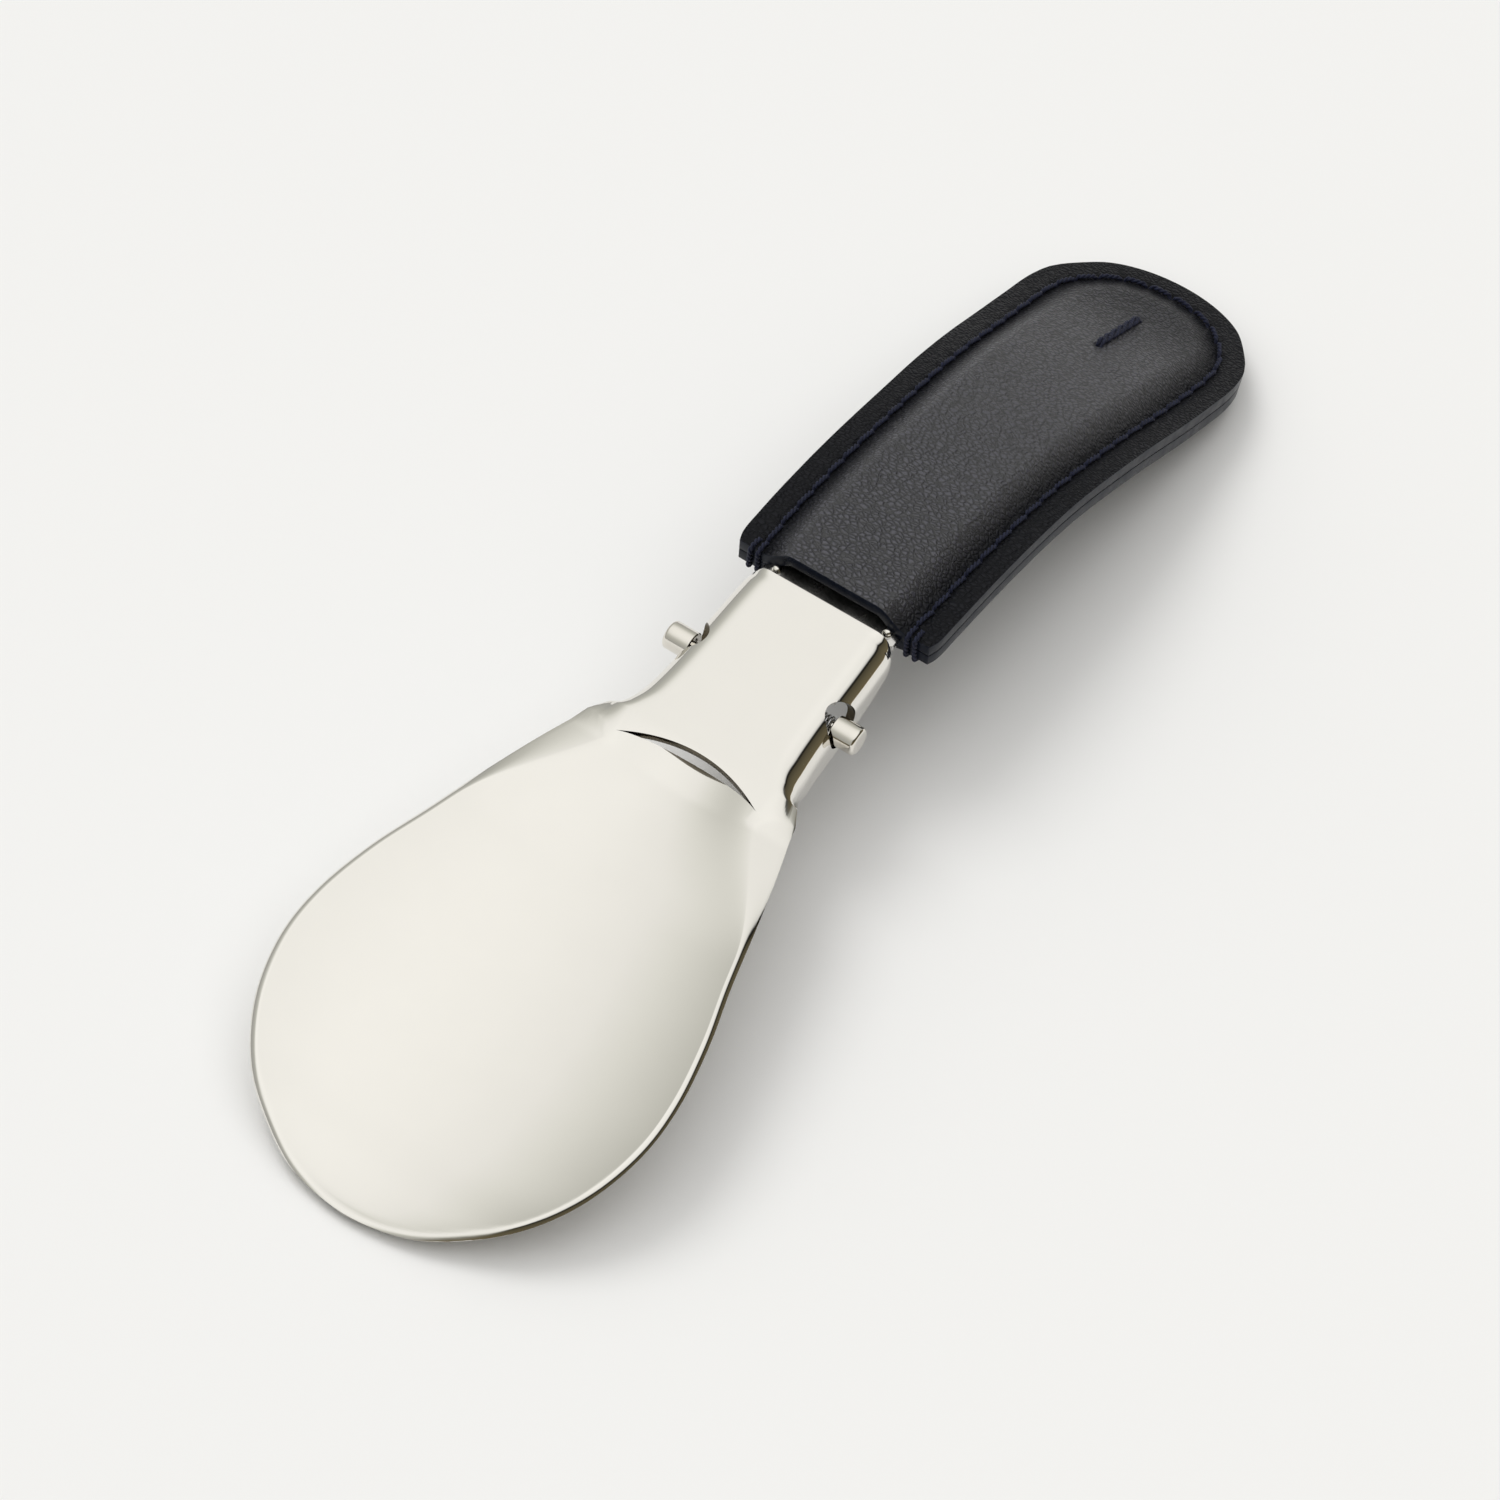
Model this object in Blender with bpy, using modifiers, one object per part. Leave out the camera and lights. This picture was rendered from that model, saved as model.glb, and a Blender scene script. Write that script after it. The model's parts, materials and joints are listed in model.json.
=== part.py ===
"""Folding shoehorn: a pressed metal blade and neck, and a leather-covered handle that folds under
the blade on two sprung push buttons.

Everything is laid out in millimetres in the neck's own frame: X across, Y from the blade's tip
towards the handle, Z up from the flat top of the neck, with Y = 0 on the chord of the slot between
neck and blade. put() then tips the whole object by TILT so that it stands on the table, blade tip
and handle end down.
"""
import math

import bmesh
import bpy
from mathutils import Matrix, Vector

MM = 0.001

# ---- standing on the table ----
TILT = math.radians(9.205)
SHIFT_Y = -21.70
LIFT = 14.665

# ---- pressed sheet ----
SHEET = 1.0
NECK_END = 26.0
SLOT_HALF = 9.0
SLOT_NECK_RISE = 2.6
SLOT_BLADE_RISE = 2.0
SLOT_STEP = 1.8
BEND_R = 3.2
SLOT_ROW_HALF = 13.35
WEB_DROP = 0.72
SHOULDER_TOP = 7.5
SHOULDER_RUN = 6.5
# blade rim: station along Y, half width, height of the rim
RIM = [(2.1, 12.8, -0.96), (-4.9, 15.2, -0.22), (-12.0, 17.3, 0.46), (-19.7, 19.4, 1.05),
       (-27.0, 21.6, 1.34), (-34.4, 23.05, 1.26), (-40.3, 23.15, 0.84), (-46.2, 21.85, 0.06),
       (-50.7, 19.7, -0.82), (-54.9, 16.4, -1.68), (-58.3, 11.9, -2.85), (-60.7, 7.2, -3.78),
       (-61.85, 0.0, -3.55)]
DISH_SLOT = 1.8
DISH_MAX = 4.0
LIP_DROP = 0.4
LIP_WIDE = 4.4
LIP_NARROW = 0.8
LIP_RUN = 18.0
SOFT_POWER = 0.7
BLADE_TOP = -1.3
BOW_START = -12.0
BOW_END = -56.6
# neck: station along Y, half width over the flanges, depth of the flanges
NECK = [(3.2, 12.1, 2.3), (4.4, 11.4, 3.4), (6.0, 10.75, 4.6), (8.5, 10.3, 5.3), (12.0, 10.0, 5.6),
        (17.0, 9.8, 5.6), (20.5, 9.7, 5.1), (23.0, 9.6, 4.5), (24.6, 9.5, 3.8), (25.5, 9.2, 3.0),
        (26.0, 8.6, 1.9)]

# ---- hinge axis and buttons ----
AXIS_Y = 14.7
AXIS_Z = -2.72
HOLE_R = 2.5
HOLE_Y = 15.2
HOLE_Z = -2.6
HOLE_DOME_X = 8.6
HOLE_REACH = 5.0
HEAD_R = 1.65
HEAD_IN = 9.15
HEAD_OUT = 12.35
SHAFT_R = 0.65
STUB_R = 0.95
STUB_IN = 2.5
STUB_LEN = 0.8
BARREL_HALF = 6.2
BARREL_R = 1.4
BARREL_BORE = 0.8
CHAMBER_R = 1.05
CHAMBER_HALF = 3.4
SPRING_R = 1.0
SPRING_WIRE = 0.14
SPRING_TURNS = 5

# ---- handle ----
ARC_START_Y = 27.0
ARC_START_Z = -0.97
ARC_START_DEG = -4.57
ARC_RATE_DEG = -0.496
ARC_TURN = 50.0
ARC_RELAX_DEG = 0.25
# handle outline: distance along the arc, half width
OUTLINE = [(1.0, 12.3), (2.2, 12.7), (6.0, 12.85), (15.0, 12.95), (30.0, 13.1), (40.0, 13.5),
           (50.0, 13.8), (60.0, 13.95), (66.5, 13.85), (70.3, 13.05), (73.9, 10.9), (76.6, 8.5),
           (78.5, 4.7), (79.2, 0.0)]
HANDLE_LEN = 79.2
LEATHER = 1.4
LAYER_GAP = 0.3
PUFF = 2.0
BACK_PUFF = 1.1
PUFF_START = 3.2
PUFF_RUN = 3.6
STITCH_IN = 3.0
THREAD_R = 0.26
THREAD_LIFT = 0.18
TACK_S0 = 57.0
TACK_S1 = 67.6
TACK_R = 0.5
PLATE = 0.9
PLATE_HALF = 7.4
PLATE_LIFT = -1.05
SHOULDER_HALF = 8.7
TONGUE_HALF = 6.8
CORE = 0.7
CORE_HALF = 6.6
CORE_LIFT = -1.2
CORE_START = 14.5
CORE_STOP = 72.0
PAD_START = 15.5
PAD_STOP = 63.0
PAD_HALF = 6.4
RIVET_X = 7.2
RIVET_Y = 27.65
RIVET_R = 0.62


for old in list(bpy.data.objects):
    bpy.data.objects.remove(old, do_unlink=True)

parts = bpy.data.collections.new("folding_shoehorn")
cutters = bpy.data.collections.new("cutters")
bpy.context.scene.collection.children.link(parts)
bpy.context.scene.collection.children.link(cutters)


# ---------------------------------------------------------------- small helpers
def clamp01(t):
    return max(0.0, min(1.0, t))


def ease(t):
    t = clamp01(t)
    return t * t * (3.0 - 2.0 * t)


def material(name, color, metallic, roughness):
    mat = bpy.data.materials.new(name)
    mat.use_nodes = True
    bsdf = mat.node_tree.nodes["Principled BSDF"]
    bsdf.inputs["Base Color"].default_value = (*color, 1.0)
    bsdf.inputs["Metallic"].default_value = metallic
    bsdf.inputs["Roughness"].default_value = roughness
    mat.diffuse_color = (*color, 1.0)
    return mat


def put(obj, origin=(0.0, 0.0, 0.0), collection=None):
    """Places an object whose data is in the neck's frame, measured from origin (mm)."""
    turn = Matrix.Rotation(TILT, 4, "X")
    at = turn @ Vector(origin) + Vector((0.0, SHIFT_Y, LIFT))
    obj.matrix_world = Matrix.Translation(at * MM) @ turn
    (collection or parts).objects.link(obj)
    return obj


def mesh_object(name, verts, faces, origin=(0.0, 0.0, 0.0), collection=None):
    """A mesh object from points in mm; its data is stored in metres from origin."""
    mesh = bpy.data.meshes.new(name)
    base = Vector(origin)
    mesh.from_pydata([(Vector(v) - base) * MM for v in verts], [], faces)
    mesh.validate()
    obj = bpy.data.objects.new(name, mesh)
    return put(obj, origin, collection)


def finish(obj, mat, smooth_deg=40.0):
    obj.data.materials.clear()
    obj.data.materials.append(mat)
    obj.data.shade_smooth()
    obj.data.set_sharp_from_angle(angle=math.radians(smooth_deg))


def bake(obj):
    """Replaces an object's data by its evaluated mesh, so that later cuts see plain faces."""
    bpy.context.view_layer.update()
    graph = bpy.context.evaluated_depsgraph_get()
    mesh = bpy.data.meshes.new_from_object(obj.evaluated_get(graph))
    name = obj.name
    world = obj.matrix_world.copy()
    bpy.data.objects.remove(obj, do_unlink=True)
    bm = bmesh.new()
    bm.from_mesh(mesh)
    bmesh.ops.remove_doubles(bm, verts=bm.verts, dist=1e-7)
    bmesh.ops.recalc_face_normals(bm, faces=bm.faces)
    bm.to_mesh(mesh)
    bm.free()
    mesh.name = name
    new = bpy.data.objects.new(name, mesh)
    new.matrix_world = world
    parts.objects.link(new)
    return new


def solidify(obj, thickness, offset=-1.0):
    mod = obj.modifiers.new("thickness", "SOLIDIFY")
    mod.thickness = thickness * MM
    mod.offset = offset
    mod.use_rim = True


def bevel(obj, width, segments=2, angle=50.0):
    mod = obj.modifiers.new("edges", "BEVEL")
    mod.width = width * MM
    mod.segments = segments
    mod.limit_method = "ANGLE"
    mod.angle_limit = math.radians(angle)


def boolean(obj, other, operation):
    mod = obj.modifiers.new(operation.lower() + "_" + other.name, "BOOLEAN")
    mod.operation = operation
    mod.solver = "EXACT"
    mod.object = other


def cutter(obj):
    obj.hide_render = True
    obj.display_type = "WIRE"


def grid_faces(rows, columns, start=0, skip=None):
    """Quads over a grid of points, with their normals up when rows run towards -Y."""
    faces = []
    for i in range(rows - 1):
        for j in range(columns - 1):
            if skip and skip(i, j):
                continue
            a = start + i * columns + j
            faces.append((a, a + columns, a + columns + 1, a + 1))
    return faces


def lathe(name, profile, origin, collection=None, steps=32, closed=False):
    """Turns a profile of (radius, station along X) about the X axis through origin."""
    mesh = bpy.data.meshes.new(name)
    turn = sum(a[0] * b[1] - b[0] * a[1] for a, b in zip(profile, profile[1:] + profile[:1]))
    if turn > 0.0:
        profile = list(reversed(profile))
    points = [(r * MM, 0.0, x * MM) for r, x in profile]
    count = len(points)
    edges = [(i, i + 1) for i in range(count - 1)]
    if closed:
        edges.append((count - 1, 0))
    mesh.from_pydata(points, edges, [])
    obj = bpy.data.objects.new(name, mesh)
    mod = obj.modifiers.new("turn", "SCREW")
    mod.axis = "Z"
    mod.steps = steps
    mod.render_steps = steps
    mod.use_merge_vertices = True
    mod.merge_threshold = 0.00001
    put(obj, origin, collection)
    obj.matrix_world = obj.matrix_world @ Matrix.Rotation(math.radians(90.0), 4, "Y")
    return obj


def tube(name, points, radius, origin, cyclic=False, resolution=2):
    """A round wire through points in mm."""
    curve = bpy.data.curves.new(name, "CURVE")
    curve.dimensions = "3D"
    curve.bevel_depth = radius * MM
    curve.bevel_resolution = resolution
    curve.use_fill_caps = not cyclic
    spline = curve.splines.new("POLY")
    spline.points.add(len(points) - 1)
    base = Vector(origin)
    for knot, p in zip(spline.points, points):
        knot.co = (*((Vector(p) - base) * MM), 1.0)
    spline.use_cyclic_u = cyclic
    obj = bpy.data.objects.new(name, curve)
    put(obj, origin)
    return bake(obj)


# ---------------------------------------------------------------- smooth station curves
def spline_points(stations, spacing, mirror_end):
    """Samples a smooth curve through the stations at an even spacing.

    mirror_end treats the last station as lying on the centre line, so that the curve meets it
    square; the second value of a station is the half width."""
    pts = [Vector(p + (0.0,) * (3 - len(p))) for p in stations]
    first = pts[0] * 2.0 - pts[1]
    last = pts[-1] * 2.0 - pts[-2]
    if mirror_end:
        last = Vector((pts[-2].x, -pts[-2].y, pts[-2].z))
    ctrl = [first] + pts + [last]
    dense = []
    for k in range(1, len(ctrl) - 2):
        p0, p1, p2, p3 = ctrl[k - 1:k + 3]
        t1 = (p1 - p0).length ** 0.5
        t2 = t1 + (p2 - p1).length ** 0.5
        t3 = t2 + (p3 - p2).length ** 0.5
        for i in range(24):
            t = t1 + (t2 - t1) * i / 24.0
            a1 = p0 * ((t1 - t) / t1) + p1 * (t / t1)
            a2 = p1 * ((t2 - t) / (t2 - t1)) + p2 * ((t - t1) / (t2 - t1))
            a3 = p2 * ((t3 - t) / (t3 - t2)) + p3 * ((t - t2) / (t3 - t2))
            b1 = a1 * ((t2 - t) / t2) + a2 * (t / t2)
            b2 = a2 * ((t3 - t) / (t3 - t1)) + a3 * ((t - t1) / (t3 - t1))
            dense.append(b1 * ((t2 - t) / (t2 - t1)) + b2 * ((t - t1) / (t2 - t1)))
    dense.append(pts[-1])
    lengths = [0.0]
    for a, b in zip(dense, dense[1:]):
        lengths.append(lengths[-1] + (b - a).length)
    count = max(2, round(lengths[-1] / spacing))
    out = []
    k = 0
    for i in range(count + 1):
        goal = lengths[-1] * i / count
        while k < len(dense) - 2 and lengths[k + 1] < goal:
            k += 1
        share = (goal - lengths[k]) / max(1e-9, lengths[k + 1] - lengths[k])
        out.append(dense[k].lerp(dense[k + 1], clamp01(share)))
    return out


# ---------------------------------------------------------------- blade and neck
FLAT_COLS = 6
BEND_COLS = 4
WALL_COLS = 2
HALF_COLS = FLAT_COLS + BEND_COLS + WALL_COLS


def neck_section(half, depth):
    """Half of the channel section: flat top, rolled corner, upright flange."""
    bend = min(BEND_R, depth - 0.1)
    flat = half - bend
    out = [(flat * i / FLAT_COLS, 0.0) for i in range(FLAT_COLS + 1)]
    for i in range(1, BEND_COLS + 1):
        a = math.radians(90.0) * i / BEND_COLS
        out.append((flat + bend * math.sin(a), -bend * (1.0 - math.cos(a))))
    for i in range(1, WALL_COLS + 1):
        out.append((half, -bend - (depth - bend) * i / WALL_COLS))
    return out


BLADE_RIM = spline_points(RIM, 0.4, True)


def rim_at(y):
    """Half width and rim height of the blade at a station."""
    for a, b in zip(BLADE_RIM, BLADE_RIM[1:]):
        if b.x <= y:
            share = clamp01((a.x - y) / max(1e-9, a.x - b.x))
            return a.y + (b.y - a.y) * share, a.z + (b.z - a.z) * share
    return BLADE_RIM[-1].y, BLADE_RIM[-1].z


def tip_line(x):
    """Station of the blade's end at a distance x from the middle."""
    for a, b in zip(reversed(BLADE_RIM[:-1]), reversed(BLADE_RIM)):
        if a.y >= x:
            share = clamp01((x - b.y) / max(1e-9, a.y - b.y))
            return b.x + (a.x - b.x) * share
    return BLADE_RIM[0].x


def lip_width(y, half):
    toward = clamp01((1.0 - y) / LIP_RUN)
    return min(LIP_WIDE + (LIP_NARROW - LIP_WIDE) * ease(toward), 0.35 * half)


def dish_height(x, y):
    """Height of the blade's face: a hollow middle, a crest, and a lip rolled over at the rim."""
    half, rim = rim_at(y)
    lip = max(0.2, lip_width(y, half))
    depth = DISH_SLOT + (DISH_MAX - DISH_SLOT) * ease((2.0 - y) / 39.0)
    if y < RIM[6][0]:
        depth = DISH_MAX * (half / RIM[6][1]) ** 1.6
    near = min(math.hypot(p.x - y, p.y - x) for p in BLADE_RIM)
    if x >= half - 1e-6:
        near = 0.0
    rise = LIP_DROP * (1.0 - (1.0 - clamp01(near / max(LIP_NARROW, lip))) ** 2)
    u = min(1.0, x / max(0.2, half - lip))
    power = 1.0 + SOFT_POWER * (1.0 - ease((1.0 - y) / LIP_RUN))
    return rim + rise - depth * (1.0 - u * u) ** power


def blade_row(edge_y):
    """One row across the blade; rows bow out towards the tip until the last one follows it."""
    half = rim_at(edge_y)[0]
    lip = lip_width(edge_y, half)
    bow = (BOW_END - BLADE_RIM[-1].x) * clamp01((BOW_START - edge_y) / (BOW_START - BOW_END)) ** 1.7
    last_half = rim_at(BOW_END)[0]
    inner = FLAT_COLS + BEND_COLS - 1
    row = []
    for i in range(HALF_COLS + 1):
        if i <= inner:
            x = (half - lip) * math.sin(math.radians(90.0) * i / inner) ** 0.92
        else:
            x = half - lip + lip * (i - inner) / (HALF_COLS - inner)
        share = (tip_line(x / half * last_half) - BLADE_RIM[-1].x) / (BOW_END - BLADE_RIM[-1].x)
        y = edge_y - bow * (1.0 - clamp01(share))
        row.append((x, y, dish_height(x, y)))
    return row


def web_section(half):
    """Half of the section where the neck opens into the blade: flat, then falling to the rim."""
    out = []
    for k in range(HALF_COLS + 1):
        if k <= FLAT_COLS + 1:
            out.append((SLOT_HALF * k / (FLAT_COLS + 1.0), 0.0))
            continue
        share = (k - FLAT_COLS - 1.0) / (HALF_COLS - FLAT_COLS - 1.0)
        out.append((SLOT_HALF + (half - SLOT_HALF) * share, -WEB_DROP * share ** 2.2))
    return out


def mirror_row(half_points):
    left = [(-x, y, z) for x, y, z in half_points[:0:-1]]
    return left + half_points


def slot_edge(x, rise):
    return rise * max(0.0, 1.0 - (x / SLOT_HALF) ** 2)


def build_sheet():
    columns = 2 * HALF_COLS + 1
    rows = []
    neck = spline_points(list(reversed(NECK)), 2.0, False)
    for p in neck:
        section = neck_section(p.y, p.z)
        web = web_section(p.y)
        share = ease((SHOULDER_TOP - p.x) / SHOULDER_RUN)
        row = []
        for (nx, nz), (wx, wz) in zip(section, web):
            row.append((nx + (wx - nx) * share, p.x, nz + (wz - nz) * share))
        rows.append(mirror_row(row))
    first_dish = len(rows)
    count = round((BLADE_TOP - BOW_END - 1.6) / 2.8)
    edges = [BLADE_TOP + (BOW_END + 1.6 - BLADE_TOP) * k / count for k in range(count + 1)]
    for edge_y in edges + [BOW_END + 1.0, BOW_END + 0.55, BOW_END + 0.22, BOW_END]:
        rows.append(mirror_row(blade_row(edge_y)))

    # two rows along the slot: the neck's edge above, the blade's edge below it
    upper = []
    lower = []
    for x, z_top in web_section(SLOT_ROW_HALF):
        outside = clamp01((x - SLOT_HALF) / (SLOT_ROW_HALF - SLOT_HALF))
        y_top = slot_edge(x, SLOT_NECK_RISE) + ease(outside)
        y_low = slot_edge(x, SLOT_BLADE_RISE) + ease(outside)
        z_low = z_top - SLOT_STEP * max(0.0, 1.0 - (x / SLOT_HALF) ** 2) ** (1.0 + SOFT_POWER)
        upper.append((x, y_top, z_top))
        lower.append((x, y_low, z_low))
    rows_neck = rows[:first_dish] + [mirror_row(upper)]
    rows_blade = [mirror_row(lower)] + rows[first_dish:]

    verts = [p for row in rows_neck for p in row]
    faces = grid_faces(len(rows_neck), columns)
    offset = len(verts)
    verts += [p for row in rows_blade for p in row]
    faces += grid_faces(len(rows_blade), columns, offset)
    obj = mesh_object("blade_and_neck", verts, faces)
    bm = bmesh.new()
    bm.from_mesh(obj.data)
    bmesh.ops.remove_doubles(bm, verts=bm.verts, dist=1e-5)
    bm.to_mesh(obj.data)
    bm.free()
    solidify(obj, SHEET)
    bevel(obj, 0.22, 2, 60.0)
    obj = bake(obj)
    quarter = [math.radians(15.0 * k) for k in range(7)]
    dome = [(HOLE_R * math.sin(a), -HOLE_R * math.cos(a)) for a in quarter]
    for side, sign in (("left", -1.0), ("right", 1.0)):
        profile = [(r, x * sign) for r, x in dome + [(HOLE_R, HOLE_REACH), (0.0, HOLE_REACH)]]
        hole = lathe("hole_" + side, profile, (HOLE_DOME_X * sign, HOLE_Y, HOLE_Z), cutters, 40)
        cutter(hole)
        boolean(obj, hole, "DIFFERENCE")
    return obj


# ---------------------------------------------------------------- the handle's arc
def arc_tables():
    step = 0.1
    s_all, y_all, z_all, a_all = [0.0], [ARC_START_Y], [ARC_START_Z], [math.radians(ARC_START_DEG)]
    s = 0.0
    while s < HANDLE_LEN + 2.0:
        s += step
        deg = ARC_START_DEG + ARC_RATE_DEG * min(s, ARC_TURN) + ARC_RELAX_DEG * max(0.0, s - ARC_TURN)
        a = math.radians(deg)
        mid = 0.5 * (a + a_all[-1])
        y_all.append(y_all[-1] + math.cos(mid) * step)
        z_all.append(z_all[-1] + math.sin(mid) * step)
        s_all.append(s)
        a_all.append(a)
    return y_all, z_all, a_all


ARC_Y, ARC_Z, ARC_A = arc_tables()


def on_arc(s, x, lift):
    """The point at distance s along the handle, x across it, and lift above the border's top."""
    k = max(0.0, s) / 0.1
    i = min(int(k), len(ARC_Y) - 2)
    f = k - i
    y = ARC_Y[i] + (ARC_Y[i + 1] - ARC_Y[i]) * f
    z = ARC_Z[i] + (ARC_Z[i + 1] - ARC_Z[i]) * f
    a = ARC_A[i] + (ARC_A[i + 1] - ARC_A[i]) * f
    if s < 0.0:
        y += s * math.cos(a)
        z += s * math.sin(a)
    return (x, y - math.sin(a) * lift, z + math.cos(a) * lift)


RIM_PATH = spline_points(OUTLINE, 1.2, True)


def rim_distance(s, x):
    """Distance from the handle's edge, leaving the open mouth out."""
    best = 99.0
    for p in RIM_PATH:
        best = min(best, math.hypot(p.x - s, p.y - abs(x)))
    return best


def puff(s, x):
    edge = ease((rim_distance(s, x) - PUFF_START) / PUFF_RUN)
    return edge * (1.0 - 0.6 * ease((s - 54.0) / 18.0))


def handle_rows(spacing, shrink, lift_at, first=0, end_width=1.6):
    """Rows of points over the handle's outline, shrunk inwards, from the mouth to the end."""
    rows = []
    half_cols = 11
    path = spline_points(OUTLINE, spacing, True)[first:]
    for k, p in enumerate(path):
        half = max(end_width, p.y) - shrink
        s = min(p.x, HANDLE_LEN - shrink) if p.y > 6.0 else p.x - shrink
        if half < 0.6:
            half = 0.6
        points = []
        for i in range(half_cols + 1):
            u = i / half_cols
            x = half * (1.0 - (1.0 - u) ** 1.25)
            points.append(on_arc(s, x, lift_at(s, x)))
        rows.append(mirror_row(points))
    return rows


def strip_object(name, rows, thickness, origin, offset):
    rows = list(reversed(rows))
    columns = len(rows[0])
    verts = [p for row in rows for p in row]
    faces = grid_faces(len(rows), columns)
    obj = mesh_object(name, verts, faces, origin)
    solidify(obj, thickness, offset)
    return obj


HINGE = (0.0, AXIS_Y, AXIS_Z)
STACK = LEATHER + LAYER_GAP


def build_leather_front():
    rows = handle_rows(3.0, 0.0, lambda s, x: PUFF * puff(s, x))
    obj = strip_object("leather_front", rows, LEATHER, HINGE, -1.0)
    bevel(obj, 0.35, 2, 60.0)
    return bake(obj)


def build_leather_back():
    rows = handle_rows(3.0, 0.0, lambda s, x: -STACK - BACK_PUFF * puff(s, x))
    obj = strip_object("leather_back", rows, LEATHER, HINGE, -1.0)
    bevel(obj, 0.35, 2, 60.0)
    return bake(obj)


def build_core():
    """A spring-steel strip down the middle of the handle, following its arch."""
    rows = []
    for k in range(25):
        s = CORE_START + (CORE_STOP - CORE_START) * k / 24.0
        half = CORE_HALF * (1.0 - 0.45 * ease((s - 62.0) / 12.0))
        rows.append([on_arc(s, half * i / 4.0, CORE_LIFT) for i in range(-4, 5)])
    obj = strip_object("core_strip", rows, CORE, HINGE, -1.0)
    return bake(obj)


def build_hinge_plate():
    """A flat plate from the barrel, with shoulders outside the neck, bent to follow the arch."""
    top = AXIS_Z + 0.5 * PLATE
    stations = [(AXIS_Y + 0.2, 5.9), (AXIS_Y + 1.2, 5.9), (AXIS_Y + 1.9, 5.9), (AXIS_Y + 2.6, PLATE_HALF),
                (20.0, PLATE_HALF), (23.0, PLATE_HALF), (26.0, PLATE_HALF), (26.5, SHOULDER_HALF),
                (27.75, SHOULDER_HALF), (27.95, 8.0),
                (28.5, 8.0), (29.4, TONGUE_HALF), (32.0, TONGUE_HALF), (35.0, TONGUE_HALF),
                (38.0, TONGUE_HALF), (40.4, 6.2)]
    rows = []
    for y, half in stations:
        s = (y - ARC_START_Y) * 1.005
        bent = on_arc(s, 0.0, PLATE_LIFT)
        share = ease((y - 22.0) / 9.0)
        yy = y + (bent[1] - y) * share
        zz = top + (bent[2] - top) * share
        rows.append([(half * i / 4.0, yy, zz) for i in range(-4, 5)])
    plate = strip_object("hinge_plate", rows, PLATE, HINGE, -1.0)
    plate = bake(plate)
    barrel = lathe("barrel", [(BARREL_BORE, -BARREL_HALF), (BARREL_R, -BARREL_HALF),
                              (BARREL_R, BARREL_HALF), (BARREL_BORE, BARREL_HALF),
                              (BARREL_BORE, CHAMBER_HALF), (CHAMBER_R, CHAMBER_HALF),
                              (CHAMBER_R, -CHAMBER_HALF), (BARREL_BORE, -CHAMBER_HALF)],
                   HINGE, cutters, 32, True)
    cutter(barrel)
    clear = lathe("barrel_bore", [(0.0, -BARREL_HALF - 1.0), (BARREL_R - 0.2, -BARREL_HALF - 1.0),
                                  (BARREL_R - 0.2, BARREL_HALF + 1.0), (0.0, BARREL_HALF + 1.0)],
                  HINGE, cutters, 32)
    cutter(clear)
    boolean(plate, clear, "DIFFERENCE")
    boolean(plate, barrel, "UNION")
    return plate


def build_button(side, sign):
    profile = [(0.0, STUB_IN), (STUB_R, STUB_IN), (STUB_R, STUB_IN + STUB_LEN), (SHAFT_R, STUB_IN + STUB_LEN),
               (SHAFT_R, HEAD_IN), (HEAD_R, HEAD_IN), (HEAD_R, HEAD_OUT - 0.4), (HEAD_R - 0.12, HEAD_OUT - 0.15),
               (HEAD_R - 0.4, HEAD_OUT), (0.0, HEAD_OUT)]
    turned = [(r, x * sign) for r, x in profile]
    return bake(lathe("button_" + side, turned, HINGE, None, 32))


def build_spring(side, sign):
    x0 = BARREL_HALF + 0.35
    x1 = HEAD_IN - 0.3
    count = SPRING_TURNS * 10
    points = []
    for i in range(count + 1):
        f = i / count
        a = 2.0 * math.pi * SPRING_TURNS * f
        x = sign * (x0 + (x1 - x0) * f)
        points.append((x, AXIS_Y + SPRING_R * math.cos(a), AXIS_Z + SPRING_R * math.sin(a)))
    return tube("button_spring_" + side, points, SPRING_WIRE, HINGE)


def build_padding():
    """A soft filler between the core strip and the front leather."""
    top = []
    under = []
    for k in range(19):
        s = PAD_START + (PAD_STOP - PAD_START) * k / 18.0
        xs = [PAD_HALF * i / 6.0 for i in range(-6, 7)]
        top.append([on_arc(s, x, PUFF * puff(s, x) - LEATHER - 0.35) for x in xs])
        under.append([on_arc(s, x, CORE_LIFT + 0.3) for x in xs])
    columns = len(top[0])
    rows = len(top)
    verts = [p for row in top for p in row] + [p for row in under for p in row]
    size = rows * columns
    faces = []
    for i in range(rows - 1):
        for j in range(columns - 1):
            a = i * columns + j
            faces.append((a, a + 1, a + columns + 1, a + columns))
            faces.append((size + a, size + a + columns, size + a + columns + 1, size + a + 1))
    for i in range(rows - 1):
        a = i * columns
        b = a + columns - 1
        faces.append((a, a + columns, size + a + columns, size + a))
        faces.append((b, size + b, size + b + columns, b + columns))
    for j in range(columns - 1):
        b = (rows - 1) * columns + j
        faces.append((j, size + j, size + j + 1, j + 1))
        faces.append((b, b + 1, size + b + 1, size + b))
    return bake(mesh_object("padding", verts, faces, HINGE))


def build_rivet(side, sign):
    """A domed rivet head on the hinge plate's shoulder, just outside the neck."""
    seat = plate_level(RIVET_Y) + 0.03
    bm = bmesh.new()
    bmesh.ops.create_uvsphere(bm, u_segments=20, v_segments=10, radius=RIVET_R)
    for v in bm.verts:
        v.co.z = max(v.co.z, 0.0) * 0.95
    bmesh.ops.remove_doubles(bm, verts=bm.verts, dist=0.02)
    bm.verts.index_update()
    verts = [(v.co.x + RIVET_X * sign, v.co.y + RIVET_Y, v.co.z + seat) for v in bm.verts]
    faces = [tuple(v.index for v in f.verts) for f in bm.faces]
    bm.free()
    return mesh_object("hinge_rivet_" + side, verts, faces, HINGE)


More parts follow.
